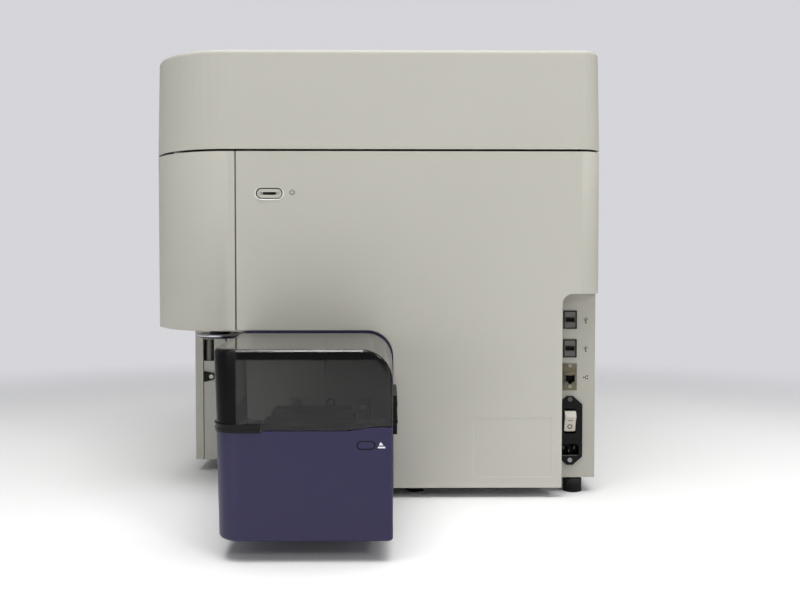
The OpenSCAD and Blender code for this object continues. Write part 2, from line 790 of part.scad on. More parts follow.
post_spots = [
  [-side_x + 50, seam_y + 40], [-side_x + 50, pan_rear_y - 55],
  [side_x - 60, pan_rear_y - 60], [bay_x - 30, seam_y + 40]
];

// Posts with a wide foot and an isolator groove under the bench, and plain ones up to the upper ring.
module bench_posts() {
  h = bench_z - pan_top;
  color("gray") for (spot = post_spots)
    translate([spot.x, spot.y, pan_top]) rotate_extrude()
      polygon([[0, 0], [20, 0], [20, 6], [11, 10], [11, h - 40], [16, h - 36], [16, h - 26], [12, h - 22],
        [12, h - 18], [16, h - 14], [16, h], [0, h]]);
  color("gray") for (side = [-1, 1], y = [seam_y + 26, pan_rear_y - 45])
    translate([side * (side_x - 36), y, bench_top]) cylinder(h = frame_z - bench_top, r = 6);
}

beam_z = bench_top + 38;
laser_size = [side_x - 168, 56, 56];
laser_pitch = 74;
laser_x0 = -side_x + 58;
laser_y0 = seam_y + 55;
cell_at = [40, laser_y0 + laser_pitch];

// Finned laser head with an aperture barrel, aimed along +X.
module laser_head(index) {
  fins = 14;
  translate([laser_x0, laser_y0 + laser_pitch * index, bench_top]) difference() {
    union() {
      translate([0, -laser_size.y / 2 + 4, 0]) cube([laser_size.x, laser_size.y - 8, laser_size.z - 16]);
      for (i = [0:fins - 1])
        translate([4 + i * (laser_size.x - 12) / (fins - 1), -laser_size.y / 2, 6])
          cube([3.2, laser_size.y, laser_size.z - 6]);
      translate([-6, -laser_size.y / 2 - 6, 0]) cube([laser_size.x + 12, laser_size.y + 12, 6]);
      translate([laser_size.x, 0, 38]) rotate([0, 90, 0]) cylinder(h = 18, r = 9);
      translate([laser_size.x - 20, -12, 20]) cube([20, 24, 30]);
    }
    translate([laser_size.x - 8, 0, 38]) rotate([0, 90, 0]) cylinder(h = 40, r = 4);
    for (u = [0, 1], v = [-1, 1])
      translate([u * laser_size.x, v * (laser_size.y / 2 + 2), -1]) cylinder(h = 10, r = 1.7, $fn = 24);
  }
}

module blue_laser() {
  color([0.3, 0.36, 0.5]) laser_head(0);
}

module red_laser() {
  color([0.5, 0.3, 0.28]) laser_head(1);
}

module violet_laser() {
  color([0.4, 0.32, 0.5]) laser_head(2);
}

// Post-mounted steering mirrors that bring the three beams to the flow cell.
module steering_mirrors() {
  color("silver") for (index = [0, 2])
    translate([-46 - index * 8, laser_y0 + laser_pitch * index, bench_top]) {
      translate([-14, -14, 0]) cube([28, 28, 5]);
      translate([0, 0, 5]) cylinder(h = 22, r = 6);
      translate([0, 0, 38]) rotate([0, 0, index == 0 ? 45 : -45]) rotate([0, 90, 0]) {
        difference() {
          translate([-13, -13, -5]) cube([26, 26, 8]);
          translate([0, 0, -1]) cylinder(h = 8, r = 9.5);
        }
        translate([0, 0, -1]) cylinder(h = 2.5, r = 9.5);
      }
    }
  color("silver") translate([cell_at.x - 62, cell_at.y, bench_top]) {
    translate([-12, -16, 0]) cube([24, 32, 20]);
    translate([-20, 0, 38]) rotate([0, 90, 0]) difference() {
      cylinder(h = 40, r = 16);
      translate([0, 0, -1]) cylinder(h = 50, r = 11);
    }
    translate([-10, -8, 20]) cube([20, 16, 3]);
  }
}

// Quartz flow cell clamped between two blocks, with a fluid fitting above and below.
module flow_cell() {
  color([0.55, 0.57, 0.6]) translate([cell_at.x, cell_at.y, bench_top]) {
    difference() {
      union() {
        translate([-24, -24, 0]) cube([48, 48, 8]);
        translate([-18, -18, 8]) cube([36, 10, 74]);
        translate([-18, -18, 8]) cube([36, 36, 14]);
        translate([-18, -18, 62]) cube([36, 36, 20]);
      }
      for (u = [-1, 1], v = [-1, 1]) translate([u * 20, v * 20, -1]) cylinder(h = 12, r = 2.2, $fn = 24);
    }
    translate([-4, -4, 22]) cube([8, 8, 40]);
    translate([0, 0, 82]) cylinder(h = 6, r = 8, $fn = 6);
    translate([0, 0, 88]) cylinder(h = 10, r = 3);
  }
}

module collection_lens() {
  color([0.2, 0.2, 0.22]) translate([cell_at.x, cell_at.y + 26, bench_top]) {
    translate([-13, 2, 0]) cube([26, 26, 22]);
    difference() {
      union() {
        translate([0, 0, 38]) rotate([-90, 0, 0]) cylinder(h = 34, r = 18);
        translate([0, 6, 38]) rotate([-90, 0, 0]) cylinder(h = 8, r = 21, $fn = 48);
      }
      translate([0, -1, 38]) rotate([-90, 0, 0]) cylinder(h = 6, r = 13);
    }
    translate([0, 34, 38]) rotate([-90, 0, 0]) cylinder(h = 10, r = 6);
  }
}

// Polygon detector rings: light passes round inside and a tube stands out from each face.
ring_spots = [[172, seam_y + 108], [172, seam_y + 290]];
ring_faces = 8;
ring_r = 46;
ring_h = 40;
ring_base = 14;

module detector_rings() {
  color([0.16, 0.16, 0.18]) for (spot = ring_spots)
    translate([spot.x, spot.y, bench_top]) difference() {
      union() {
        cylinder(h = ring_base, r = 26);
        translate([0, 0, ring_base]) rotate([0, 0, 180 / ring_faces])
          cylinder(h = ring_h, r = ring_r / cos(180 / ring_faces), $fn = ring_faces);
        translate([0, 0, ring_base]) cylinder(h = 4, r = ring_r + 8);
      }
      translate([0, 0, ring_base + 6]) cylinder(h = ring_h, r = 22);
      for (i = [0:ring_faces - 1]) rotate([0, 0, 360 / ring_faces * i]) {
        translate([18, 0, ring_base + 22]) rotate([0, 90, 0]) cylinder(h = 40, r = 6);
        translate([32 - 4.2, -9.2, ring_base + 8]) cube([8.4, 18.4, ring_h]);
      }
    }
}

module detector_tubes() {
  color("silver") for (spot = ring_spots, i = [0:ring_faces - 1])
    translate([spot.x, spot.y, bench_top + ring_base + 22]) rotate([0, 0, 360 / ring_faces * i])
      rotate([0, 90, 0]) {
        translate([0, 0, ring_r]) cylinder(h = 4, r = 14);
        translate([0, 0, ring_r + 4]) cylinder(h = 26, r = 11.5);
        translate([0, 0, ring_r + 30]) cylinder(h = 5, r = 6);
      }
}

// Plug-in filters with finger tabs, one over each beam path.
module filter_holders() {
  color([0.75, 0.75, 0.76]) for (spot = ring_spots, i = [0:ring_faces - 1])
    translate([spot.x, spot.y, bench_top + ring_base + 8]) rotate([0, 0, 360 / ring_faces * i]) {
      difference() {
        translate([28, -9, 0]) cube([8, 18, ring_h - 4]);
        translate([26, 0, 14]) rotate([0, 90, 0]) cylinder(h = 12, r = 6.5);
      }
      translate([30.5, -6, ring_h - 4]) cube([3, 12, 9]);
    }
}

board_at = [-side_x + 32, pan_rear_y - 185.5];
board_size = [210, 120];

module control_board() {
  z = bench_top + 12;
  corners = [for (u = [8, board_size.x - 8], v = [8, board_size.y - 8]) [u, v]];
  color([0.1, 0.35, 0.2]) translate([board_at.x, board_at.y, z]) {
    difference() {
      cube([board_size.x, board_size.y, 2]);
      for (spot = corners) translate([spot.x, spot.y, -1]) cylinder(h = 4, r = 1.6);
    }
    for (spot = corners) translate([spot.x, spot.y, -12]) cylinder(h = 12, r = 4);
    for (i = [0:3]) translate([30 + i * 44, 22, 2]) cube([24, 24, 3]);
    for (i = [0:5]) translate([26 + i * 30, 96, 2]) cube([22, 9, 11]);
    for (i = [0:6]) translate([28 + i * 25, 70, 2]) cylinder(h = 13, r = 5);
    translate([150, 52, 2]) cube([40, 10, 9]);
  }
}

module power_supply() {
  size = [170, 130, 88];
  at = [-side_x + 74, pan_rear_y - 142, pan_top];
  color([0.7, 0.7, 0.72]) translate(at) difference() {
    cube(size);
    for (i = [0:10], j = [0:3]) translate([22 + i * 12.6, -1, 18 + j * 17]) cube([6, 5, 11]);
    translate([6, 6, 6]) cube([size.x - 12, size.y - 12, size.z - 9]);
  }
}

pump_at = [-164, seam_y + 6, pan_top];
filter_at = [-92, seam_y + 2];
manifold_at = [-30, seam_y - 16, 90];
valve_count = 5;
valve_pitch = 24;

module sheath_pump() {
  color([0.2, 0.2, 0.22]) translate(pump_at) {
    translate([-28, -22, 0]) cube([56, 60, 8]);
    translate([0, 8, 8]) cylinder(h = 62, r = 24);
    translate([-26, -18, 70]) cube([52, 52, 34]);
    for (side = [-1, 1]) translate([side * 14, 8, 104]) {
      cylinder(h = 8, r = 6, $fn = 6);
      cylinder(h = 16, r = 3);
    }
  }
}

module sheath_filter() {
  color([0.92, 0.93, 0.95]) translate([filter_at.x, filter_at.y, pan_top]) rotate_extrude()
    polygon([[0, 0], [14, 0], [14, 8], [6, 10], [6, 14], [20, 18], [24, 22], [24, 34],
      [25.5, 36], [25.5, 40], [24, 42], [24, 104], [25.5, 106], [25.5, 110], [24, 112],
      [24, 118], [20, 124], [6, 128], [6, 134], [3, 134], [3, 146], [0, 146]]);
}

module valve_manifold() {
  color([0.85, 0.85, 0.82]) translate(manifold_at) {
    difference() {
      cube([valve_count * valve_pitch, 24, 22]);
      for (i = [0:valve_count - 1])
        translate([(i + 0.5) * valve_pitch, -1, 11]) rotate([-90, 0, 0]) cylinder(h = 10, r = 4);
    }
    for (i = [0:valve_count - 1]) translate([(i + 0.5) * valve_pitch, 12, 22]) {
      cylinder(h = 30, r = 10);
      translate([0, 0, 30]) cylinder(h = 6, r = 4);
      translate([-10, -10, 0]) cube([20, 20, 3]);
    }
    leg_h = manifold_at.z - pan_top;
    for (u = [6, valve_count * valve_pitch - 18]) translate([u, 6, -leg_h]) cube([12, 12, leg_h]);
  }
}

// Rigid elbowed tube: up from one port, across and down to the next.
module tube_bridge(from, to, top_z, r) {
  $fn = 32;
  bend = 10;
  run = norm([to.x - from.x, to.y - from.y]);
  translate([from.x, from.y, 0]) rotate([0, 0, atan2(to.y - from.y, to.x - from.x)]) {
    translate([0, 0, from.z]) cylinder(h = top_z - bend - from.z, r = r);
    translate([run, 0, to.z]) cylinder(h = top_z - bend - to.z, r = r);
    translate([bend, 0, top_z]) rotate([0, 90, 0]) cylinder(h = run - 2 * bend, r = r);
    translate([bend, 0, top_z - bend]) rotate([90, 0, 0]) rotate([0, 0, 90]) rotate_extrude(angle = 90)
      translate([bend, 0]) circle(r = r);
    translate([run - bend, 0, top_z - bend]) rotate([90, 0, 0]) rotate_extrude(angle = 90)
      translate([bend, 0]) circle(r = r);
  }
}

module fluid_lines() {
  pump_top = pump_at.z + 120;
  filter_top = pan_top + 146;
  valve_top = manifold_at.z + 58;
  color([0.85, 0.9, 0.95]) {
    tube_bridge([pump_at.x + 14, pump_at.y + 8, pump_top], [filter_at.x, filter_at.y, filter_top], 196, 3);
    for (i = [0, 2]) tube_bridge([manifold_at.x + (i + 0.5) * valve_pitch, manifold_at.y + 12, valve_top],
      [manifold_at.x + (i + 1.5) * valve_pitch, manifold_at.y + 12, valve_top], 180, 3);
  }
}

// Plan outline of the loader with a leaning front side, as points.
function loader_ring(left, nose, right, drop, x0) =
  let (
    centre = [loader_x1 - nose_r, loader_y0 + nose_r + drop],
    touch = centre + (nose_r - left) * [sin(flare_angle), -cos(flare_angle)],
    small = 3
  )
  concat(
    [[x0, touch.y - (touch.x - x0) * tan(flare_angle)]],
    [for (i = [0:12]) let (a = -90 + flare_angle + (90 - flare_angle) * i / 12)
      centre + [(nose_r - nose) * cos(a), (nose_r - left) * sin(a)]],
    arc_points([loader_x1 - nose - small, loader_y1 - right - small], small, 0, 90, 3),
    [[x0, loader_y1 - right]]
  );

function loader_drop(z) = loader_draft * (loader_top_z - z) / (loader_top_z - loader_z);

// Raised step of the tub's rim near the hinge side, as a flat outline in Y and Z.
step_h = 3.5;
module rim_step_2d(grow) {
  right = loader_y1 + 20;
  polygon([[-40, -30], [-14, grow], [10, step_h + grow], [right, step_h + grow], [right, -30]]);
}

// Arch that frames the opening between the housing and the loader's lid.
module loader_arch() {
  intersection() {
    difference() {
      loader_lid_form(-1, loader_z, side_x - 10);
      translate([0, 0, -0.01]) loader_lid_form(loader_wall, loader_z - 1, side_x - 20);
    }
    block([side_x - 4, loader_y0 - 60, 0], [loader_x0 - 0.4, loader_y1 + 10, body_h]);
  }
}

module loader_tub() {
  edge = 3;
  wall = loader_wall;
  color([0.21, 0.20, 0.36]) {
    difference() {
      loft(
        [for (k = [[loader_z, edge], [loader_z + 1, 1.2], [loader_z + edge, 0], [split_z + step_h, 0]])
          loader_ring(k[1], k[1], k[1], loader_drop(k[0]), loader_x0 - 1.5)],
        [loader_z, loader_z + 1, loader_z + edge, split_z + step_h]
      );
      loft(
        [for (z = [loader_z + wall, split_z + step_h + 1])
          loader_ring(wall, wall, wall, loader_drop(z), loader_x0 - 10)],
        [loader_z + wall, split_z + step_h + 1]
      );
      difference() {
        block([loader_x0 - 20, loader_y0 - 40, split_z], [loader_x1 + 5, loader_y1 + 10, split_z + 20]);
        on_side(loader_x1 - 30, 40) translate([0, split_z]) rim_step_2d(0);
      }
      on_side(loader_x1 - 10, 20) translate(eject_at) slot_2d(eject_l + 1, eject_h + 1);
    }
    loader_arch();
  }
}

eject_at = [3.4, split_z - 13.9];
module eject_button() {
  x = loader_x1 - 0.3;
  color([0.2, 0.19, 0.34]) {
    on_side(x - 5, 5) translate(eject_at) slot_2d(eject_l, eject_h);
    on_side(loader_x1 - loader_wall - seat_clear - 2, 2)
      translate(eject_at) slot_2d(eject_l + 5, eject_h + 5);
  }
}

// Outside of the loader lid or, with a wall, its hollow.
module loader_lid_form(wall, low, x0) {
  r = shoulder_r - wall;
  edge = max(4 - wall, 1);
  top = loader_top_z - wall;
  steps = 8;
  heights = concat([low, top - r], [for (i = [1:steps]) top - r + r * sin(90 * i / steps)]);
  loft(
    [for (z = heights)
      let (
        rise = max(0, z - (top - r)),
        right = wall + r - sqrt(r * r - rise * rise),
        lip = max(0, z - (top - edge)),
        side = wall + edge - sqrt(edge * edge - lip * lip)
      )
      loader_ring(side, side, right, loader_drop(z), x0)],
    heights
  );
}

module loader_lid() {
  low = split_z + 0.8;
  color([0.25, 0.25, 0.26, 0.7]) difference() {
    loader_lid_form(0, low, loader_x0);
    loader_lid_form(loader_wall, low - 1, loader_x0 - 10);
    on_side(loader_x1 - 30, 40) translate([0, split_z]) rim_step_2d(1.4);
  }
}

// Band that follows the lid's outside between two heights.
module lid_band(low, high, outside, inside) {
  difference() {
    loft([for (z = [low, high]) loader_ring(-outside, -outside, 40, loader_drop(z), loader_x0)], [low, high]);
    loft(
      [for (z = [low - 1, high + 1]) loader_ring(-inside, -inside, 30, loader_drop(z), loader_x0 - 10)],
      [low - 1, high + 1]
    );
  }
}

// Grip bar with a finger groove, wrapped round the nose corner over the split.
grip_h = 8.2;
grip_drop = 1.4;
grip_side = 80;
grip_front = 49;
module lid_grip() {
  low = split_z - grip_drop;
  high = low + grip_h;
  color([0.05, 0.05, 0.06]) difference() {
    lid_band(low, high, grip_proud, 0.1);
    lid_band(low + 3.2, low + 4.8, grip_proud + 2, grip_proud - 0.8);
    block([loader_x0 - 1, loader_y0 - 40, low - 1], [loader_x1 - grip_side, loader_y1 + 5, high + 1]);
    block([loader_x0 - 1, loader_y0 + grip_front, low - 1], [loader_x1 + 5, loader_y1 + 5, high + 1]);
  }
}

// Long hinge on the loader's rear side, with its pin in line with the rim.
loader_hinge = [loader_y1 + 2.8, split_z + 0.4];
hinge_x0 = side_x + 112;
hinge_l = 95;
hinge_leaf_h = 42;
tub_leaf_h = 13;
knuckle_l = hinge_l / 5;
hinge_r = 2.6;
hinge_pin_r = 1.2;

module lid_hinge() {
  y = loader_y1;
  z = loader_hinge.y;
  color([0.08, 0.08, 0.09]) difference() {
    union() {
      block([hinge_x0, y, z + 3], [hinge_x0 + hinge_l, y + 4.6, z + hinge_leaf_h]);
      for (i = [1, 3]) {
        bar_x([hinge_x0 + i * knuckle_l + 0.2, loader_hinge.x, z], knuckle_l - 0.4, hinge_r);
        block([hinge_x0 + i * knuckle_l + 0.2, y + 1.6, z],
          [hinge_x0 + (i + 1) * knuckle_l - 0.2, y + 4.6, z + 4]);
      }
    }
    bar_x([hinge_x0 - 1, loader_hinge.x, z], hinge_l + 2, hinge_pin_r + run_clear);
  }
}

module tub_hinge() {
  y = loader_y1;
  z = loader_hinge.y;
  color([0.08, 0.08, 0.09]) {
    block([hinge_x0, y, z - tub_leaf_h], [hinge_x0 + hinge_l, y + 4.6, z - 3]);
    for (i = [0, 2, 4]) {
      bar_x([hinge_x0 + i * knuckle_l + 0.2, loader_hinge.x, z], knuckle_l - 0.4, hinge_r);
      block([hinge_x0 + i * knuckle_l + 0.2, y + 1.6, z - 4],
        [hinge_x0 + (i + 1) * knuckle_l - 0.2, y + 4.6, z]);
    }
    bar_x([hinge_x0 + 0.2, loader_hinge.x, z], hinge_l - 0.4, hinge_pin_r);
  }
}

deck_y = [stage_y - 66, stage_y + 66];
deck_x1 = loader_x1 - 18;
deck_post_r = 9;
tub_floor_z = loader_z + loader_wall;

// Deck plate on posts: two stand on the base tray and two carry the tub.
module loader_deck() {
  color("silver") {
    difference() {
      block([bay_x + 4, deck_y[0], deck_z], [deck_x1, deck_y[1], deck_top]);
      for (i = [0:5]) translate([bay_x + 50 + i * 60, stage_y, deck_z - 1]) linear_extrude(deck_t + 2)
        round_rect([36, 26], 6);
    }
    for (y = deck_y) {
      inset = y < stage_y ? 12 : -12;
      for (x = [bay_x + 30, recess_x - 20])
        translate([x, y + inset, pan_top]) cylinder(h = deck_z - pan_top, r = deck_post_r);
      for (x = [side_x + 60, deck_x1 - 40])
        translate([x, y + inset, tub_floor_z]) cylinder(h = deck_z - tub_floor_z, r = deck_post_r);
    }
  }
}

rail_x0 = bay_x + 6;
rail_x1 = deck_x1 - 2;

module stage_rails() {
  color("silver") for (side = [-1, 1]) {
    y = stage_y + side * rail_pitch / 2;
    bar_x([rail_x0, y, screw_z], rail_x1 - rail_x0, rail_r);
    for (x = [rail_x0, rail_x1 - 8]) block([x, y - 9, deck_top], [x + 8, y + 9, screw_z + 8]);
  }
  color("silver") difference() {
    block([rail_x1 - 8, stage_y - 12, deck_top], [rail_x1, stage_y + 12, screw_z + 10]);
    bar_x([rail_x1 - 9, stage_y, screw_z], 12, screw_r + 0.1);
  }
}

// Lead screw with a fine spiral groove, shown as rings, and a plain journal at each end.
module lead_screw() {
  x0 = bay_x - sheet_t - 4;
  x1 = rail_x1 - 1;
  rings = 40;
  color("gray") translate([x0, stage_y, screw_z]) rotate([0, 90, 0]) rotate_extrude($fn = 32)
    polygon(concat(
      [[0, 0], [screw_r, 0], [screw_r, 16]],
      [for (i = [0:rings - 1], k = [0:3])
        [screw_r - (k == 1 || k == 2 ? 0.7 : 0),
          18 + (i + [0.3, 0.42, 0.68, 0.8][k]) * (x1 - x0 - 36) / rings]],
      [[screw_r, x1 - x0], [0, x1 - x0]]
    ));
}

module stage_motor() {
  half = 21;
  x1 = bay_x - sheet_t;
  color([0.15, 0.15, 0.16]) difference() {
    union() {
      block([x1 - 40, stage_y - half, screw_z - half], [x1, stage_y + half, screw_z + half]);
      bar_x([x1 - 46, stage_y, screw_z], 6, 9);
    }
    bar_x([x1 - 6, stage_y, screw_z], 10, screw_r + 1);
  }
  color("silver") block([x1 - 34, stage_y - 15, pan_top], [x1 - 6, stage_y + 15, screw_z - half]);
}

// Carriage: a block on the long rails and the nut, with a pair of cross rails above it.
module stage_carriage() {
  half_x = 40;
  plate_z = screw_z + 10;
  color([0.5, 0.5, 0.52]) translate([carriage_x, stage_y, 0]) {
    difference() {
      block([-half_x + 4, -rail_pitch / 2 - 14, deck_top + 8], [half_x - 4, rail_pitch / 2 + 14, plate_z]);
      for (side = [-1, 1])
        bar_x([-half_x - 1, side * rail_pitch / 2, screw_z], 2 * half_x + 2, rail_r + run_clear);
      bar_x([-half_x - 1, 0, screw_z], 2 * half_x + 2, screw_r + run_clear);
      for (side = [-1, 1])
        block([-half_x + 12, side * 22 - 10, deck_top + 7], [half_x - 12, side * 22 + 10, plate_z - 4]);
    }
    difference() {
      block([-half_x, -cross_half, plate_z], [half_x, cross_half, plate_z + 2.5]);
      for (side = [-1, 1]) block([-18, side * 71 - 5, plate_z - 1], [18, side * 71 + 5, plate_z + 4]);
    }
    for (side = [-1, 1]) {
      bar_y([side * 30, -cross_half + 2, cross_z], 2 * cross_half - 4, cross_r);
      block([-half_x, side * (cross_half - 3) - 3, plate_z + 2.5],
        [half_x, side * (cross_half - 3) + 3, cross_z + 4.4]);
    }
  }
}

// Tray with a plate pocket, finger notches and a slider on the cross rails.
module plate_tray() {
  l = plate_l + 5;
  w = plate_w + 8;
  color([0.12, 0.12, 0.13]) translate([carriage_x, stage_y, 0]) difference() {
    union() {
      block([-l / 2, -w / 2, tray_z], [l / 2, w / 2, tray_z + 10]);
      block([-39, -22, cross_z - 5.8], [39, 22, tray_z]);
    }
    block([-plate_l / 2 - 0.4, -plate_w / 2 - 0.4, tray_z + 4],
      [plate_l / 2 + 0.4, plate_w / 2 + 0.4, tray_z + 11]);
    block([-plate_l / 2 + 12, -plate_w / 2 + 12, tray_z - 1], [-42, plate_w / 2 - 12, tray_z + 5]);
    block([42, -plate_w / 2 + 12, tray_z - 1], [plate_l / 2 - 12, plate_w / 2 - 12, tray_z + 5]);
    block([-14, -w / 2 - 1, tray_z + 2], [14, w / 2 + 1, tray_z + 11]);
    for (side = [-1, 1]) bar_y([side * 30, -23, cross_z], 46, cross_r + run_clear);
    block([-24, -23, cross_z - 7], [24, 23, cross_z + 1]);
  }
}

// Needle drive over the bay: a foot, two guide rods and a head plate with its actuator.
needle_tip_z = tray_z + 8 + needle_stroke;
drive_top_z = bench_z - 8;
rod_y = stage_y + 20;
rod_r = 3;

module probe_drive() {
  base_z = ceiling_z + sheet_t;
  color([0.6, 0.6, 0.62]) {
    difference() {
      block([probe_x - 24, rod_y - 9, base_z], [probe_x + 24, rod_y + 9, base_z + 6]);
      for (side = [-1, 1]) translate([probe_x + side * 20, rod_y, base_z - 1]) cylinder(h = 8, r = 1.7);
    }
    for (side = [-1, 1])
      translate([probe_x + side * 11, rod_y, base_z]) cylinder(h = drive_top_z - base_z, r = rod_r);
    block([probe_x - 18, rod_y - 9, drive_top_z - 6], [probe_x + 18, rod_y + 9, drive_top_z]);
    translate([probe_x, rod_y + 20, base_z]) cylinder(h = 50, r = 9);
    block([probe_x - 9, rod_y + 5, base_z], [probe_x + 9, rod_y + 20, base_z + 6]);
  }
}

// Needle block on the guide rods, with the needle through the bay's ceiling.
module plate_probe() {
  block_z = drive_top_z - 7 - 22;
  color("silver") {
    translate([probe_x, stage_y, needle_tip_z]) cylinder(h = block_z - needle_tip_z + 2, r = 1.1);
    translate([probe_x, stage_y, needle_tip_z + 18]) cylinder(h = block_z - needle_tip_z - 16, r = 3);
    difference() {
      block([probe_x - 17, stage_y - 8, block_z], [probe_x + 17, rod_y + 7, block_z + 22]);
      for (side = [-1, 1])
        translate([probe_x + side * 11, rod_y, block_z - 1]) cylinder(h = 24, r = rod_r + run_clear);
    }
    translate([probe_x, stage_y - 2, block_z + 22]) cylinder(h = 5, r = 3);
  }
}

placed() base_pan();
placed() rubber_feet();
placed() right_side_cover();
placed() left_side_cover();
placed() front_cover();
placed() corner_cover();
placed() rear_panel();
placed() bay_liner();
placed() socket_panel();
placed() usb_ports();
placed() network_port();
placed() power_inlet();
placed() inlet_pins();
placed() panel_screws();
placed() power_rocker();
placed() power_button();
placed() power_lens();
placed() button_socket();
placed() front_door();
placed() door_catch();
placed() door_solenoid();
placed() sample_port_head();
placed() upper_frame();
placed() optical_bench();
placed() bench_posts();
placed() blue_laser();
placed() red_laser();
placed() violet_laser();
placed() steering_mirrors();
placed() flow_cell();
placed() collection_lens();
placed() detector_rings();
placed() detector_tubes();
placed() filter_holders();
placed() control_board();
placed() power_supply();
placed() fan_frames();
placed() left_fan_rotor();
placed() right_fan_rotor();
placed() sheath_pump();
placed() sheath_filter();
placed() valve_manifold();
placed() fluid_lines();
placed() top_cover();
placed() cover_hinge_upper();
placed() cover_hinge_lower();
placed() loader_tub();
placed() loader_lid();
placed() lid_grip();
placed() lid_hinge();
placed() tub_hinge();
placed() eject_button();
placed() loader_deck();
placed() stage_rails();
placed() lead_screw();
placed() stage_motor();
placed() stage_carriage();
placed() plate_tray();
placed() probe_drive();
placed() plate_probe();
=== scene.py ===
# %% [markdown]
# # A bench flow cytometer, seen from its right-hand side
#
# The machine is a tall pale housing with a hinged top cover. A purple plate loader stands out of its
# side, under a smoked lid. Behind the loader is a recess with the sockets, and in front of it an open bay
# where a tube is offered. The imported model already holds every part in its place, so this lesson dresses
# those parts in real materials and builds by hand the small pieces that the eye goes to: buttons,
# sockets, screws, hinge and marks.

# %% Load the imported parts
import json
import math

import bpy
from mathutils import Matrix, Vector


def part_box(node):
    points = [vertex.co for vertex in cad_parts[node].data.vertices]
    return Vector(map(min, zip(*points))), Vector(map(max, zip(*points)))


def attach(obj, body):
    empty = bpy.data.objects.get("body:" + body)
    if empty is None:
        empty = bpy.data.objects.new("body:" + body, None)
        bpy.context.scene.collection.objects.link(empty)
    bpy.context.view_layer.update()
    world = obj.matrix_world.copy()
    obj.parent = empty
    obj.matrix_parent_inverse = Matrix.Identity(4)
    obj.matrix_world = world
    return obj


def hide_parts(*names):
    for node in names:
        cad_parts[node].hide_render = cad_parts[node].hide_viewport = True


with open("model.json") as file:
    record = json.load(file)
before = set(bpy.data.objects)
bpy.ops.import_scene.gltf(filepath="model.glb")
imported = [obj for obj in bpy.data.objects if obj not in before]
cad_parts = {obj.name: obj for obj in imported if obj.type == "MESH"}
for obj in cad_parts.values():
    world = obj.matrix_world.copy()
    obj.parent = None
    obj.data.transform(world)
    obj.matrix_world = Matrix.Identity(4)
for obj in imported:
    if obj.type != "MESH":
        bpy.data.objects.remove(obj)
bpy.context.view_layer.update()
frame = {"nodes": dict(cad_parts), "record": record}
nodes = frame["nodes"]
MM = 0.001
print("parts loaded:", len(nodes))

# %% [markdown]
# ## The camera
#
# The photograph looks square on to the side, with the lens level with the upper third of the housing.
# Lines that run away from the viewer meet at one point a little left of the middle. So the camera stands
# about 1.2 m from the side cover, is tipped down by two degrees and turned by less than one. Standing it
# in the real place, rather than sliding a flat picture, makes the loader, which is nearer, come out
# larger just as it does on the table.

# %% Stand the camera
side_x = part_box("right_side_cover")[1].x
eye_away, eye_along, eye_up = 1.169, 0.0256, 0.290
tipped_down, turned_aside = 1.86, 0.65
turns = (math.radians(90 - tipped_down), 0, math.radians(90 - turned_aside))
bpy.ops.object.camera_add(location=(side_x + eye_away, eye_along, eye_up), rotation=turns)
camera = bpy.context.object
camera.data.sensor_width = 36
camera.data.lens = 41.68
camera.data.clip_start = 0.01
bpy.context.scene.camera = camera
print("camera stands", eye_away, "m from the side cover")

# %% [markdown]
# ## Selecting by place
#
# An operator acts on all that is selected, so every move starts by selecting just what it is meant for.
# In a script the faces, edges and points are picked by where they lie or which way they face, and these
# short helpers do that.

# %% Helpers for selecting and moving
def pick(piece):
    """Leaves one object selected and active."""
    bpy.ops.object.select_all(action="DESELECT")
    piece.select_set(True)
    bpy.context.view_layer.objects.active = piece


def done():
    """Leaves edit mode."""
    bpy.ops.object.mode_set(mode="OBJECT")


def choose(piece, kind, test):
    """Opens edit mode with only the faces, edges or points that pass a test selected."""
    pick(piece)
    bpy.ops.object.mode_set(mode="EDIT")
    bpy.ops.mesh.select_mode(type=kind)
    bpy.ops.mesh.select_all(action="DESELECT")
    done()
    mesh = piece.data
    if kind == "FACE":
        for face in mesh.polygons:
            face.select = test(face.center, face.normal)
    elif kind == "EDGE":
        for edge in mesh.edges:
            edge.select = all(test(mesh.vertices[i].co) for i in edge.vertices)
    else:
        for point in mesh.vertices:
            point.select = test(point.co)
    bpy.ops.object.mode_set(mode="EDIT")


def choose_all(piece):
    """Opens edit mode with everything selected."""
    choose(piece, "VERT", lambda co: True)


def push(*move):
    """Extrudes what is selected and moves the new edges or faces."""
    bpy.ops.mesh.extrude_region_move(TRANSFORM_OT_translate={"value": move})


# %% [markdown]
# ## Floor, air and lamps
#
# The machine stands on a white table in an evenly lit room. One smooth sheet makes both the table and the
# wall: its far end curves up, so no horizon line crosses the picture. A wide lamp overhead lights the
# table, which throws the light back up on the covers, and the air fills the shade. A weaker lamp beside
# the camera reaches into the open bay, one from the other side casts the slanting shadow in the recess,
# and a narrow one like a ceiling tube draws the thin bright lines on the lid's edge, the grip and the
# buttons.

# %% Build the floor sheet
# The strip between the flat end and the bend keeps the smooth shading of the bend off the table.
floor_half, flat_end, bend_start, bend_radius, bend_steps, wall_high = 7, 2.8, 4.0, 1.5, 8, 3
bpy.ops.mesh.primitive_plane_add(size=2 * floor_half, location=(0, 0, 0))
floor = bpy.context.object
floor.name = "floor_sheet"
choose(floor, "VERT", lambda co: co.x < 0)
bpy.ops.mesh.select_mode(type="EDGE")
bpy.ops.transform.translate(value=(floor_half - flat_end, 0, 0))
push(flat_end - bend_start, 0, 0)
for step in range(bend_steps):
    last, turn = (math.radians(90 * n / bend_steps) for n in (step, step + 1))
    back, up = math.sin(turn) - math.sin(last), math.cos(last) - math.cos(turn)
    push(-bend_radius * back, 0, bend_radius * up)
push(0, 0, wall_high)
done()
bpy.ops.object.shade_smooth()
print("floor sheet has", len(floor.data.polygons), "faces")


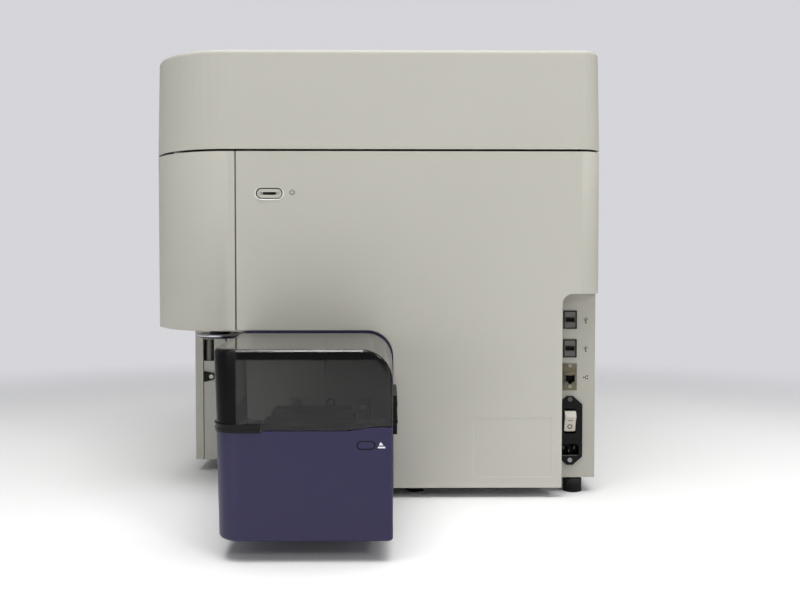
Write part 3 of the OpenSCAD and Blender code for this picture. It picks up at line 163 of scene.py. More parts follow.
# %% Helpers that wire shader nodes
def feed(tree, node, *in_order, **named):
    """Gives a node's inputs, in order or by name, a value each, or a link from another node's output."""
    for label, value in [*enumerate(in_order), *named.items()]:
        socket = node.inputs[label if isinstance(label, int) else label.replace("_", " ")]
        if isinstance(value, bpy.types.NodeSocket):
            tree.links.new(value, socket)
        else:
            socket.default_value = value


def put(tree, kind, *in_order, **named):
    """Adds a shader node. A name in small letters is one of the node's options, any other is an input."""
    node = tree.nodes.new("ShaderNode" + kind)
    for option in [name for name in named if name.islower()]:
        setattr(node, option, named.pop(option))
    feed(tree, node, *in_order, **named)
    return node


def calc(tree, operation, *values):
    """One arithmetic node on outputs or numbers, given back as its own output."""
    return put(tree, "Math", *values, operation=operation).outputs[0]


def here(tree):
    """The place of the shaded point in its object's own coordinates."""
    return put(tree, "TexCoord").outputs["Object"]


def band(tree, value, low, high):
    """A soft step from 0 at one value to 1 at another."""
    step = put(tree, "MapRange", interpolation_type="SMOOTHSTEP", Value=value, From_Min=low, From_Max=high)
    return step.outputs["Result"]


# %% Paper for the floor
# Far from the machine the paper fades, for the camera alone, to the plain grey of the wall.
far_grey = (0.665, 0.665, 0.70, 1)
fade_start, fade_end = 0.75, 1.75
paper = bpy.data.materials.new("floor_paper")
paper.use_nodes = True
tree = paper.node_tree
shader = tree.nodes["Principled BSDF"]
fibre = put(tree, "TexNoise", Scale=6.0)
tint = put(tree, "MapRange", Value=fibre.outputs["Fac"], To_Min=0.93, To_Max=0.96)
feed(tree, shader, Base_Color=tint.outputs["Result"], Roughness=0.7)
reach = put(tree, "VectorMath", here(tree), operation="LENGTH")
depth = band(tree, reach.outputs["Value"], fade_start, fade_end)
share = calc(tree, "MULTIPLY", depth, put(tree, "LightPath").outputs["Is Camera Ray"])
far = put(tree, "Emission", Color=far_grey)
mixed = put(tree, "MixShader", share, shader.outputs["BSDF"], far.outputs["Emission"])
feed(tree, tree.nodes["Material Output"], Surface=mixed.outputs["Shader"])
floor.data.materials.append(paper)
print("floor paper has", len(tree.nodes), "nodes")

# %% Light the air
world = bpy.data.worlds.new("room_air")
bpy.context.scene.world = world
world.use_nodes = True
air = world.node_tree
glow = air.nodes["Background"]
feed(air, glow, Color=(0.96, 0.98, 1.0, 1), Strength=0.26)
seen = put(air, "Background", Color=far_grey, Strength=1.0)
path = put(air, "LightPath")
looked_at = path.outputs["Is Camera Ray"]
for ray in ("Is Glossy Ray", "Is Transmission Ray"):
    looked_at = calc(air, "MAXIMUM", looked_at, path.outputs[ray])
either = put(air, "MixShader", looked_at, glow.outputs["Background"], seen.outputs["Background"])
feed(air, air.nodes["World Output"], Surface=either.outputs["Shader"])
print("room air has", len(air.nodes), "nodes")


# %% Hang the lamps
def lamp(name, place, target, width, height, power, colour, spread=180):
    """A soft rectangular lamp that faces a point. A smaller spread keeps its light in a narrower cone."""
    turn = (Vector(target) - Vector(place)).to_track_quat("-Z", "Y").to_euler()
    bpy.ops.object.light_add(type="AREA", location=place, rotation=turn)
    bpy.context.object.name = name
    light = bpy.context.object.data
    light.shape = "RECTANGLE"
    light.size, light.size_y = width, height
    light.energy, light.color = power, colour
    light.spread = math.radians(spread)


warm_white = (1.0, 0.995, 0.985)
lamp("overhead", (0.75, 0.2, 2.3), (0.75, 0.2, 0), 2.2, 2.6, 23, warm_white, 100)
lamp("beside_camera", (2.1, -1.2, 0.3), (0.2, -0.1, 0.05), 1.6, 0.6, 5.5, warm_white)
lamp("window_light", (2.15, 1.24, 1.24), (0.2, 0.2, 0.25), 0.4, 0.4, 9, warm_white)
lamp("ceiling_tube", (0.9, -0.12, 2.2), (0.3, -0.06, 0.2), 1.3, 0.14, 6, (1.0, 1.0, 0.99))
bpy.context.scene.view_settings.view_transform = "Standard"

# %% [markdown]
# ## Effects that several materials share
#
# Moulded and painted surfaces have the same small faults: a fine leathery grain from the mould, a slow
# drift of tone over a hand's breadth, a gloss that isn't even, and edges that fingers and cloths have
# polished. Each fault is one node group with named sockets, built once and used by every material that
# needs it, at its own scale.

# %% A helper that starts a group
FLOAT, COLOUR = "NodeSocketFloat", "NodeSocketColor"


def start_group(name, inputs, outputs):
    """A shader node group with named sockets. Inputs are (kind, name, default), outputs (kind, name)."""
    group = bpy.data.node_groups.new(name, "ShaderNodeTree")
    for kind, label, default in inputs:
        socket = group.interface.new_socket(name=label, in_out="INPUT", socket_type=kind)
        socket.default_value = default
    for kind, label in outputs:
        group.interface.new_socket(name=label, in_out="OUTPUT", socket_type=kind)
    return group, group.nodes.new("NodeGroupInput").outputs, group.nodes.new("NodeGroupOutput")


def swing(tree, noise, amount):
    """Noise that swings by an amount to either side of zero."""
    centred = calc(tree, "SUBTRACT", noise.outputs["Fac"], 0.5)
    return calc(tree, "MULTIPLY", calc(tree, "MULTIPLY", centred, amount), 2.0)


# %% Fine mould grain
# Two layers of cells and noise: the first is the leathery pattern of the mould, the second its finer
# sparkle.
grain, given, result = start_group("fine_mould_grain", [(FLOAT, "Scale", 900.0)], [(FLOAT, "Height")])
place = here(grain)
cells = put(grain, "TexVoronoi", feature="SMOOTH_F1", Vector=place, Scale=given["Scale"])
fine = put(grain, "TexNoise", Vector=place, Scale=calc(grain, "MULTIPLY", given["Scale"], 2.1), Detail=3.0)
half = calc(grain, "MULTIPLY", fine.outputs["Fac"], 0.5)
feed(grain, result, Height=calc(grain, "ADD", cells.outputs["Distance"], half))
print("grain has", len(grain.nodes), "nodes")

# %% Slow drift of tone
# A large panel is never one colour: the moulding cools unevenly and hands and dust shade it over the
# years.
drift, given, result = start_group(
    "slow_tone_drift",
    [(COLOUR, "Colour", (0.8, 0.8, 0.8, 1)), (FLOAT, "Amount", 0.06), (FLOAT, "Scale", 3.0)],
    [(COLOUR, "Colour")])
cloud = put(drift, "TexNoise", Vector=here(drift), Scale=given["Scale"], Detail=4.0)
level = calc(drift, "ADD", swing(drift, cloud, given["Amount"]), 1.0)
scaled = put(drift, "VectorMath", given["Colour"], operation="SCALE", Scale=level)
feed(drift, result, Colour=scaled.outputs["Vector"])
print("drift has", len(drift.nodes), "nodes")

# %% Uneven gloss
# Gloss changes in blotches and in faint wiped streaks, which is what makes a highlight look like a real
# one.
gloss, given, result = start_group(
    "uneven_gloss", [(FLOAT, "Roughness", 0.5), (FLOAT, "Spread", 0.1), (FLOAT, "Scale", 14.0)],
    [(FLOAT, "Roughness")])
squeeze = put(gloss, "Mapping", Vector=here(gloss), Scale=(1.0, 1.0, 3.5))
blotch = put(gloss, "TexNoise", Vector=squeeze.outputs["Vector"], Scale=given["Scale"], Detail=6.0,
             Roughness=0.65)
total = calc(gloss, "ADD", given["Roughness"], swing(gloss, blotch, given["Spread"]))
feed(gloss, result, Roughness=calc(gloss, "MAXIMUM", calc(gloss, "MINIMUM", total, 1.0), 0.03))
print("gloss has", len(gloss.nodes), "nodes")

# %% Rubbed edges
# Where the surface turns sharply its averaged direction differs from its own, so the difference marks the
# edge. Noise breaks the mark up, because wear is never an even line.
rubbed, given, result = start_group(
    "rubbed_edges", [(FLOAT, "Width", 0.0012), (FLOAT, "Scale", 160.0)], [(FLOAT, "Mask")])
averaged = put(rubbed, "Bevel", samples=4, Radius=given["Width"])
own = put(rubbed, "NewGeometry")
agree = put(rubbed, "VectorMath", averaged.outputs["Normal"], own.outputs["Normal"],
            operation="DOT_PRODUCT")
turned = calc(rubbed, "SUBTRACT", 1.0, agree.outputs["Value"])
breakup = put(rubbed, "TexNoise", Vector=here(rubbed), Scale=given["Scale"])
strong = calc(rubbed, "MULTIPLY", turned, calc(rubbed, "MULTIPLY", breakup.outputs["Fac"], 9.0))
feed(rubbed, result, Mask=calc(rubbed, "MINIMUM", strong, 1.0))
print("rubbed edges have", len(rubbed.nodes), "nodes")

# %% Brushed metal lines
# Rolled and ground metal carries fine parallel lines. Noise squeezed along one direction draws them.
brushed, given, result = start_group("brushed_lines", [(FLOAT, "Scale", 60.0)], [(FLOAT, "Height")])
squeeze = put(brushed, "Mapping", Vector=here(brushed), Scale=(14.0, 1.0, 14.0))
lines = put(brushed, "TexNoise", Vector=squeeze.outputs["Vector"], Scale=given["Scale"], Detail=5.0)
feed(brushed, result, Height=lines.outputs["Fac"])
print("brushed lines have", len(brushed.nodes), "nodes")

# %% Dust that has settled
# Dust lies only on faces that look up, and in patches.
dust, given, result = start_group(
    "settled_dust", [(COLOUR, "Colour", (0.5, 0.5, 0.5, 1)), (FLOAT, "Amount", 0.2)], [(COLOUR, "Colour")])
facing = put(dust, "SeparateXYZ", put(dust, "NewGeometry").outputs["Normal"])
patches = put(dust, "TexNoise", Vector=here(dust), Scale=30.0, Detail=8.0)
upward = calc(dust, "MAXIMUM", facing.outputs["Z"], 0.0)
lying = calc(dust, "MULTIPLY", calc(dust, "MULTIPLY", upward, patches.outputs["Fac"]), given["Amount"])
blend = put(dust, "Mix", data_type="RGBA", Factor=lying, A=given["Colour"], B=(0.62, 0.61, 0.58, 1))
feed(dust, result, Colour=blend.outputs["Result"])
print("shared effects:", [g.name for g in bpy.data.node_groups])

# %% [markdown]
# ## The materials
#
# One builder joins the effects in the order that they happen on the real thing: the colour drifts, dust
# lies on it, the edges are rubbed to another tone, then gloss and relief are added. What changes from one
# material to the next is the numbers, and those are given in the sRGB values a colour picker shows.

# %% The material builder
def linear(rgb):
    """sRGB steps from 0 to 255 as the linear colour that shaders use."""
    steps = [c / 255 for c in rgb]
    return tuple(s / 12.92 if s <= 0.04045 else ((s + 0.055) / 1.055) ** 2.4 for s in steps) + (1.0,)


def use(tree, group, **values):
    """Adds a node group to a material."""
    return put(tree, "Group", node_tree=group, **values)


def finish(name, rgb, rough, spread=0.08, grain_size=0.0011, relief=0.15, drift_by=0.05, drift_scale=3.0,
           metal=0.0, coat=0.0, edge=None, edge_width=0.0012, dusty=0.0, lines=False, clear=0.0, shine=0.5):
    """A material with drift, dust, rubbed edges, uneven gloss and relief."""
    made = bpy.data.materials.new(name)
    made.use_nodes = True
    tree = made.node_tree
    shader = tree.nodes["Principled BSDF"]
    feed(tree, shader, Metallic=metal, Coat_Weight=coat, Coat_Roughness=0.08, Transmission_Weight=clear,
         Specular_IOR_Level=shine)
    tone = use(tree, drift, Colour=linear(rgb), Amount=drift_by, Scale=drift_scale)
    colour = tone.outputs["Colour"]
    if dusty:
        colour = use(tree, dust, Colour=colour, Amount=dusty).outputs["Colour"]
    if edge is not None:
        worn = use(tree, rubbed, Width=edge_width)
        mix = put(tree, "Mix", data_type="RGBA", Factor=worn.outputs["Mask"], A=colour, B=linear(edge))
        colour = mix.outputs["Result"]
    polish = use(tree, gloss, Roughness=rough, Spread=spread)
    feed(tree, shader, Base_Color=colour, Roughness=polish.outputs["Roughness"])
    if relief:
        pattern = use(tree, brushed, Scale=60.0) if lines else use(tree, grain, Scale=1 / grain_size)
        bump = put(tree, "Bump", Strength=relief, Distance=0.0002, Height=pattern.outputs["Height"])
        feed(tree, shader, Normal=bump.outputs["Normal"])
    return made


# %% Mix the materials
look = {
    "cover": finish("pale_moulded_cover", (191, 189, 179), 0.55, relief=0.22, edge=(214, 213, 206),
                    dusty=0.10),
    "sheet": finish("powder_coated_sheet", (190, 188, 180), 0.6, grain_size=0.0006, relief=0.25,
                    dusty=0.15),
    "steel_sheet": finish("zinc_plated_sheet", (168, 170, 172), 0.38, metal=1.0, spread=0.16, lines=True),
    "purple": finish("purple_satin_plastic", (32, 27, 64), 0.42, relief=0.12, drift_by=0.08,
                     edge=(52, 46, 100), dusty=0.05, shine=0.38),
    "black": finish("black_moulded_plastic", (12, 12, 14), 0.45, spread=0.14, relief=0.2, edge=(40, 40, 43),
                    shine=0.14),
    "gloss_black": finish("polished_black_plastic", (9, 9, 10), 0.1, spread=0.06, relief=0.03, shine=0.2),
    "rubber": finish("soft_black_rubber", (18, 18, 18), 0.8, relief=0.35, grain_size=0.0008,
                     edge=(40, 40, 40), dusty=0.2, shine=0.2),
    "steel": finish("ground_steel", (186, 188, 190), 0.26, metal=1.0, spread=0.12, lines=True, relief=0.2),
    "plated": finish("nickel_plate", (104, 98, 80), 0.4, metal=1.0, spread=0.2, relief=0.1, drift_by=0.12,
                     drift_scale=120.0),
    # A darker grey sheet for the socket panel; the extra darkness is painted shade for its recess.
    "recess_sheet_shaded": finish("grey_sheet_and_painted_shade", (170, 168, 159), 0.6, grain_size=0.0006, relief=0.25),
    "chrome": finish("polished_chrome", (196, 197, 202), 0.12, metal=1.0, spread=0.08, relief=0.0),
    "lip_painted_highlight": finish("pale_plastic_painted_highlight", (238, 236, 230), 0.2, relief=0.0, coat=0.8),
    "screw": finish("zinc_plated_screw", (142, 142, 140), 0.3, metal=1.0, spread=0.14, relief=0.1),
    "dull_metal": finish("dull_tinned_metal", (92, 91, 88), 0.42, metal=1.0, spread=0.2, lines=True),
    "disc_purple": finish("polished_purple_plastic", (30, 27, 52), 0.12, spread=0.06, relief=0.02,
                          coat=0.6),
    "seam_grey_and_shade": finish("seam_strip_and_shade", (96, 96, 90), 0.7, relief=0.2, shine=0.3),
    "cream": finish("cream_rocker_plastic", (196, 192, 180), 0.35, relief=0.06, edge=(232, 228, 214)),
    "anodised": finish("black_anodised_metal", (38, 38, 42), 0.4, metal=0.6, relief=0.2,
                       edge=(120, 120, 124), edge_width=0.0008),
    "machined": finish("milled_aluminium", (192, 194, 196), 0.3, metal=1.0, spread=0.14, lines=True,
                       relief=0.22),
    "board": finish("green_circuit_board", (24, 84, 52), 0.35, drift_by=0.2, drift_scale=90.0),
    "white_plastic": finish("white_technical_plastic", (222, 221, 214), 0.4, relief=0.1),
    "tubing": finish("clear_fluid_tubing", (206, 216, 220), 0.16, relief=0.05, clear=0.6),
}
for hue, rgb, worn in (("blue", (44, 66, 118), (128, 144, 180)), ("red", (128, 44, 40), (184, 128, 124)),
                       ("violet", (88, 54, 124), (150, 130, 180))):
    look[hue + "_anodised"] = finish(hue + "_anodised_metal", rgb, 0.36, metal=0.7, relief=0.18, edge=worn,
                                     edge_width=0.0008)
print("materials mixed:", len(look))

# %% [markdown]
# ## Smoked plastic
#
# The lid needs a recipe of its own. It is see-through, but dark: each of its two skins lets less than
# half of the light pass, so the rails inside stay faint. Where the wall turns a corner it is seen edge on
# and reflects the dark room, and that darkness is painted in as a dark band: a soft mask made from the
# lid's own coordinates makes those parts nearly opaque and takes their polish off: the rounded nose at
# the free end, the brow under the top edge and the shoulder over the hinge.

# %% Mask the lid's corners for the painted dark band
smoke = bpy.data.materials.new("smoked_clear_plastic")
smoke.use_nodes = True
tree = smoke.node_tree
lid_place = here(tree)
at = put(tree, "SeparateXYZ", lid_place).outputs
waver = put(tree, "TexNoise", Vector=lid_place, Scale=26.0)
wavy_z = calc(tree, "ADD", at["Z"], calc(tree, "MULTIPLY", waver.outputs["Fac"], 0.004))
nose = calc(tree, "MULTIPLY", band(tree, at["Y"], -0.1250, -0.1262), band(tree, at["X"], 0.415, 0.425))
brow = calc(tree, "MULTIPLY", band(tree, wavy_z, 0.2026, 0.2042), band(tree, at["Z"], 0.2098, 0.2086))
across = calc(tree, "MAXIMUM", calc(tree, "ADD", at["Y"], 0.003), 0.0)
upward = calc(tree, "MAXIMUM", calc(tree, "SUBTRACT", at["Z"], 0.180), 0.0)
squares = calc(tree, "ADD", calc(tree, "POWER", across, 2.0), calc(tree, "POWER", upward, 2.0))
shoulder = band(tree, calc(tree, "POWER", squares, 0.5), 0.0245, 0.0285)
for value, low, high in ((across, 0.0, 0.004), (upward, 0.0, 0.022), (at["X"], 0.440, 0.445)):
    shoulder = calc(tree, "MULTIPLY", shoulder, band(tree, value, low, high))
painted_dark_band = calc(tree, "MAXIMUM", calc(tree, "MAXIMUM", nose, brow), shoulder)
print("lid mask has", len(tree.nodes), "nodes")

# %% Mix the smoked plastic
lid_alpha, dark_band_alpha, polish_lost = 0.60, 0.98, 0.92
shader = tree.nodes["Principled BSDF"]
tone = use(tree, drift, Colour=linear((11, 11, 12)), Amount=0.2, Scale=8.0)
polish = use(tree, gloss, Roughness=0.09, Spread=0.05)
# The masked corners turn nearly opaque and lose their coat: a painted dark reflection.
alpha = calc(tree, "ADD", calc(tree, "MULTIPLY", painted_dark_band, dark_band_alpha - lid_alpha), lid_alpha)
coat = calc(tree, "SUBTRACT", 1.0, calc(tree, "MULTIPLY", painted_dark_band, polish_lost))
feed(tree, shader, Base_Color=tone.outputs["Colour"], Roughness=polish.outputs["Roughness"], Alpha=alpha,
     Specular_IOR_Level=0.05, Coat_Weight=coat, Coat_Roughness=0.04)
look["smoke"] = smoke
print("smoked plastic has", len(tree.nodes), "nodes")

# %% [markdown]
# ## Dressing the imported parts
#
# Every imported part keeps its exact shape. It gets its material from the finish its record names, and live
# modifiers close its split corners, join its flat triangles into whole faces and break its sharp edges by
# a few tenths of a millimetre, as every moulded or folded edge is broken. That thin bright line along an
# edge is what the eye reads as a real, thick part.

# %% Dress each part
slot_of = {p["node"]: p["material_slot"] for p in frame["record"]["subparts"]}
# The inlet pins' dull dark metal is partly painted shade for the depth of their cup.
own_look = {"door_solenoid": "dull_metal", "inlet_pins": "dull_metal", "sample_port_head": "disc_purple",
            "socket_panel": "recess_sheet_shaded"}
# Parts that curve all over keep their edges as packed.
usual_break = 0.3 * MM
edge_break = {"right_side_cover": 0.9 * MM}
edge_break.update(dict.fromkeys(("top_cover", "loader_tub", "loader_lid", "lid_grip", "fluid_lines"), 0.0))


def dress(name, material, width):
    """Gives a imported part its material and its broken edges."""
    part = nodes[name]
    for slot in part.material_slots:
        slot.material = material
    weld = part.modifiers.new("close_corners", "WELD")
    weld.merge_threshold = 0.01 * MM
    if width:
        flat = part.modifiers.new("join_flats", "DECIMATE")
        flat.decimate_type = "DISSOLVE"
        flat.angle_limit = math.radians(0.4)
        bevel = part.modifiers.new("break_edges", "BEVEL")
        bevel.width = width
        bevel.segments = 2
        bevel.limit_method = "ANGLE"
        bevel.angle_limit = math.radians(40)
        bevel.harden_normals = True


for name in sorted(nodes):
    dress(name, look[own_look.get(name, slot_of[name])], edge_break.get(name, usual_break))
print("parts dressed:", len(nodes))

# %% [markdown]
# ## Hand tools for the small pieces
#
# The eye goes to the small things: buttons, sockets, screws and marks. Each is modelled as one would by
# hand, from a primitive that is shaped in edit mode. The same few moves come back each time, so they get
# short names here: start a piece, reshape it, copy it, seat it, and hand it to the part that carries it.

# %% Starting a piece
FACING_X = (0, math.pi / 2, 0)
FACING_UP = (0, 0, 0)


def seat(piece, place=(0, 0, 0), turn=(0, 0, 0), size=(1, 1, 1)):
    """Sizes, turns and moves a piece, all in its mesh, so that the object itself stays at the origin."""
    pick(piece)
    piece.scale = size
    piece.rotation_euler = turn
    piece.location = place
    bpy.ops.object.transform_apply(location=True, rotation=True, scale=True)
    return piece


def copy_of(piece):
    """A copy with its own mesh."""
    pick(piece)
    bpy.ops.object.duplicate()
    return bpy.context.object


def row_of(piece, count, pitch):
    """A piece and its copies, in a row along X."""
    return [piece] + [seat(copy_of(piece), (index * pitch, 0, 0)) for index in range(1, count)]


def block(low, high):
    """A box between two corners."""
    low, high = Vector(low), Vector(high)
    bpy.ops.mesh.primitive_cube_add(size=1)
    return seat(bpy.context.object, (low + high) / 2, size=high - low)


def disc(centre, radius, depth, turn=FACING_X, points=40):
    """A short cylinder that faces along X, or along the given turn."""
    bpy.ops.mesh.primitive_cylinder_add(vertices=points, radius=radius, depth=depth)
    return seat(bpy.context.object, centre, turn)


def ring(centre, radius, thick, turn=FACING_X, points=48, round_points=10):
    """A thin round ring that faces along X, or along the given turn."""
    bpy.ops.mesh.primitive_torus_add(
        major_radius=radius, minor_radius=thick, major_segments=points, minor_segments=round_points)
    return seat(bpy.context.object, centre, turn)


# %% Reshaping a piece
NEAR = 0.01 * MM


def shift(piece, test, move):
    """Moves the points that pass a test."""
    choose(piece, "VERT", test)
    bpy.ops.transform.translate(value=move)
    done()


def stretch(piece, centre, length, height):
    """Pulls a round piece out along Y until it is a bar with full-round ends."""
    half = (length - height) / 2
    shift(piece, lambda co: co.y > centre.y + NEAR, (0, half, 0))
    shift(piece, lambda co: co.y < centre.y - NEAR, (0, -half, 0))
    return piece


def round_edges(piece, test, width, steps):
    """Rounds the edges whose two ends pass a test."""
    choose(piece, "EDGE", test)
    bpy.ops.mesh.bevel(offset=width, segments=steps, affect="EDGES")
    done()


def soften(piece, width, steps=2, angle=40):
    """Rounds every edge sharper than an angle."""
    pick(piece)
    bpy.ops.object.modifier_add(type="BEVEL")
    bevel = piece.modifiers[-1]
    bevel.width = width
    bevel.segments = steps
    bevel.limit_method = "ANGLE"
    bevel.angle_limit = math.radians(angle)
    bpy.ops.object.modifier_apply(modifier=bevel.name)
    return piece


def carve(piece, cutter):
    """Cuts one piece out of another and throws the cutter away."""
    pick(piece)
    bpy.ops.object.modifier_add(type="BOOLEAN")
    cut = piece.modifiers[-1]
    cut.operation = "DIFFERENCE"
    cut.solver = "EXACT"
    cut.object = cutter
    bpy.ops.object.modifier_apply(modifier=cut.name)
    pick(cutter)
    bpy.ops.object.delete()
    return piece


# %% Finishing a piece
def join(pieces):
    """Joins pieces into the first of them, each keeping its own material."""
    pick(pieces[0])
    for piece in pieces:
        piece.select_set(True)
    bpy.ops.object.join()
    return pieces[0]


def paint(piece, name, second=None, test=None):
    """Gives a piece a material, and a second one to the faces that pass a test."""
    piece.data.materials.append(look[name])
    if second:
        piece.data.materials.append(look[second])
        for face in piece.data.polygons:
            face.material_index = int(test(face.center, face.normal))
    return piece


def finish_piece(piece, name, slot, body="housing", stands_for=(), wears=None):
    """Turns normals outwards, shades, names and paints a piece, and hands it to the body it rides on."""
    choose_all(piece)
    bpy.ops.mesh.normals_make_consistent(inside=False)
    done()
    bpy.ops.object.shade_smooth_by_angle(angle=math.radians(35))
    piece.name = name
    piece.data.name = name
    if not piece.data.materials:
        paint(piece, wears or slot)
    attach(piece, body)
    if stands_for:
        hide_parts(*stands_for)
    spans = [[corner[axis] for corner in piece.bound_box] for axis in range(3)]
    size = [round((max(span) - min(span)) / MM, 1) for span in spans]
    print(name, "is", size, "mm over", len(piece.data.polygons), "faces")


def centre_of(name):
    """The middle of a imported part's box."""
    low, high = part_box(name)
    return (low + high) / 2


# %% [markdown]
# ## Strips in the cover seams
#
# The side covers and the front cover don't touch: a soft grey strip lies a little behind the gap, so that
# light and fluids stay out. Its dark grey also paints the shade that lies in the gap. It is a long bead
# with a rounded face, which a box with its outer edges bevelled round gives.

# %% Lay the seam strips
side_low, side_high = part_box("right_side_cover")
front_low, front_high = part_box("front_cover")
sunk, strip_deep, clear = 0.9 * MM, 2.7 * MM, 0.05 * MM
for way, name, face_x in ((1, "right", side_high.x), (-1, "left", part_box("left_side_cover")[0].x)):
    outer = face_x - way * sunk
    inner = outer - way * strip_deep
    strip = block((min(outer, inner), front_high.y + clear, front_low.z + 3.2 * MM),
                  (max(outer, inner), side_low.y - clear, side_high.z - 1 * MM))
    round_edges(strip, lambda co: abs(co.x - outer) < NEAR, 0.5 * MM, 3)
    # The strip's dark grey is partly painted shade for the gap.
    finish_piece(strip, "seam_strip_" + name, "sheet", wears="seam_grey_and_shade")

# %% [markdown]
# ## The power button
#
# It is a long button with full-round ends that stands in a hole with a softly turned lip. The lip is
# paler than the cover and tilted so that its top sinks in: its colour paints the bright highlight along
# the hole's lower edge. A cylinder pulled apart along its middle is the quickest way to such a shape. Its
# front rim is bevelled, the front face is inset and its ends are drawn together until the inset is the
# slot, and the slot is pushed in for the dark lens.

# %% Shape the button cap
def long_button(face_x, middle, size, deep, rim, steps, points):
    """A button with full-round ends and a soft rim, left in edit mode with its front face selected."""
    made = disc((face_x - deep / 2, middle.y, middle.z), size[1] / 2, deep, points=points)
    stretch(made, middle, *size)
    round_edges(made, lambda co: co.x > face_x - NEAR, rim, steps)
    choose(made, "FACE", lambda mid, normal: normal.x > 0.99 and mid.x > face_x - NEAR)
    return made


def in_slot(co):
    """Points of the inset slot on the button's front face."""
    return co.x > button_face - NEAR and abs(co.z - button_mid.z) < slot_half + 0.1 * MM


button_mid = centre_of("power_button")
button_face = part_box("power_button")[1].x
button_long, button_high, button_rim = 31.4 * MM, 12.0 * MM, 1.3 * MM
slot_half, slot_pull, slot_deep = 1.9 * MM, 2.6 * MM, 1.2 * MM
cap = long_button(button_face, button_mid, (button_long, button_high), 7 * MM, button_rim, 5, 64)
bpy.ops.mesh.inset(thickness=button_high / 2 - button_rim - slot_half)
done()
shift(cap, lambda co: in_slot(co) and co.y > button_mid.y + NEAR, (0, -slot_pull, 0))
shift(cap, lambda co: in_slot(co) and co.y < button_mid.y - NEAR, (0, slot_pull, 0))
choose(cap, "FACE", lambda mid, normal: normal.x > 0.99 and in_slot(mid))
push(-slot_deep, 0, 0)
done()
finish_piece(cap, "power_button_cap", "cover", body="power_button", stands_for=("power_button",))

# %% Fit the lens and the lip
lens_long, lens_high = 17 * MM, 3.4 * MM
lens = disc((button_face - 0.9 * MM, button_mid.y, button_mid.z), lens_high / 2, 0.8 * MM, points=48)
stretch(lens, button_mid, lens_long, lens_high)
soften(lens, 0.25 * MM, 3)
finish_piece(lens, "power_button_lens", "gloss_black", body="power_button", stands_for=("power_lens",))

# The lip's pale colour is a painted highlight, and its tilt hides its top so the line shows only below.
lip_round, lip_tilt = 4.0 * MM, 4.5
lip_high = button_high + lip_round
lip = ring((side_high.x - 0.45 * MM, button_mid.y, button_mid.z), lip_high / 2, 0.9 * MM, points=64)
stretch(lip, button_mid, button_long + lip_round, lip_high)
choose_all(lip)
bpy.ops.transform.rotate(
    value=math.radians(lip_tilt), orient_axis="Y", center_override=(side_high.x, 0, button_mid.z))
done()
finish_piece(lip, "power_button_lip", "cover", wears="lip_painted_highlight")

# %% [markdown]
# ## The eject button
#
# A smaller button of the same kind sits low in the loader's front, in the same purple plastic. What makes
# it readable is the dark gap round it, so both are built: the cap with a soft rim and a dished face, and
# a thin black ring in the gap, which paints the shade that falls into it.

# %% Shape the eject button
eject_mid = centre_of("eject_button")
eject_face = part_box("eject_button")[1].x
tub_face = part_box("loader_tub")[1].x
eject_long, eject_high, eject_gap = 17 * MM, 7.4 * MM, 1.1 * MM
eject = long_button(eject_face, eject_mid, (eject_long, eject_high), 4 * MM, 0.7 * MM, 4, 48)
bpy.ops.mesh.inset(thickness=1.2 * MM)
bpy.ops.transform.translate(value=(-0.25 * MM, 0, 0))
done()
finish_piece(eject, "eject_button_cap", "purple", body="eject_button", stands_for=("eject_button",))

# The black ring is painted shade: it stands for the dark of the gap round the cap.
gap_high = eject_high + eject_gap
gap_shade_ring = ring((tub_face - 0.25 * MM, eject_mid.y, eject_mid.z), gap_high / 2, 0.5 * MM)
stretch(gap_shade_ring, eject_mid, eject_long + eject_gap, gap_high)
finish_piece(gap_shade_ring, "eject_gap_painted_shade", "black")

# %% [markdown]
# ## Marks beside the controls
#
# The marks are the ordinary ones that every such machine carries: an open ring with a bar for power, a
# triangle over a bar for eject, and small trees for the sockets. Each is a thin inlay that stands a tenth
# of a millimetre proud, so it has an edge in the light and isn't only colour.

# %% Inks and inlays
for ink, rgb in (("grey", (44, 44, 46)), ("pale", (226, 226, 232)), ("dark", (22, 22, 24))):
    look["ink_" + ink] = finish(ink + "_mark_ink", rgb, 0.5, relief=0.0, drift_by=0.1, drift_scale=200.0)
PROUD = 0.12 * MM
print("looks with the inks:", len(look))


def inlay_bar(x, low, high):
    """A thin bar with softened edges between two corners, given as (y, z), of a plane of constant X."""
    return soften(block((x - PROUD, *low), (x + PROUD, *high)), 0.08 * MM)


def inlay_dot(x, y, z, radius, points=24):
    """A thin dot in a plane of constant X, round or with a few corners."""
    return soften(disc((x, y, z), radius, 2 * PROUD, points=points), 0.06 * MM)


# %% Power mark
# The ring is opened at the top, and its two open ends are closed again before it is pressed flat.
power_y, power_z = -0.0967, 0.3876
arc = ring((side_high.x, power_y, power_z), 2.9 * MM, 0.5 * MM, points=64, round_points=8)
choose(arc, "VERT", lambda co: co.z > power_z and abs(co.y - power_y) < 1.8 * MM)
bpy.ops.mesh.delete(type="VERT")
bpy.ops.mesh.select_mode(type="EDGE")
bpy.ops.mesh.select_non_manifold()
bpy.ops.mesh.edge_face_add()
done()
choose_all(arc)
bpy.ops.transform.resize(value=(0.33, 1, 1), center_override=(side_high.x, power_y, power_z))
done()
bar_half = 0.42 * MM
bar = inlay_bar(side_high.x, (power_y - bar_half, power_z + 0.1 * MM),
                (power_y + bar_half, power_z + 4.1 * MM))
finish_piece(join([arc, bar]), "power_mark", "cover", wears="ink_grey")

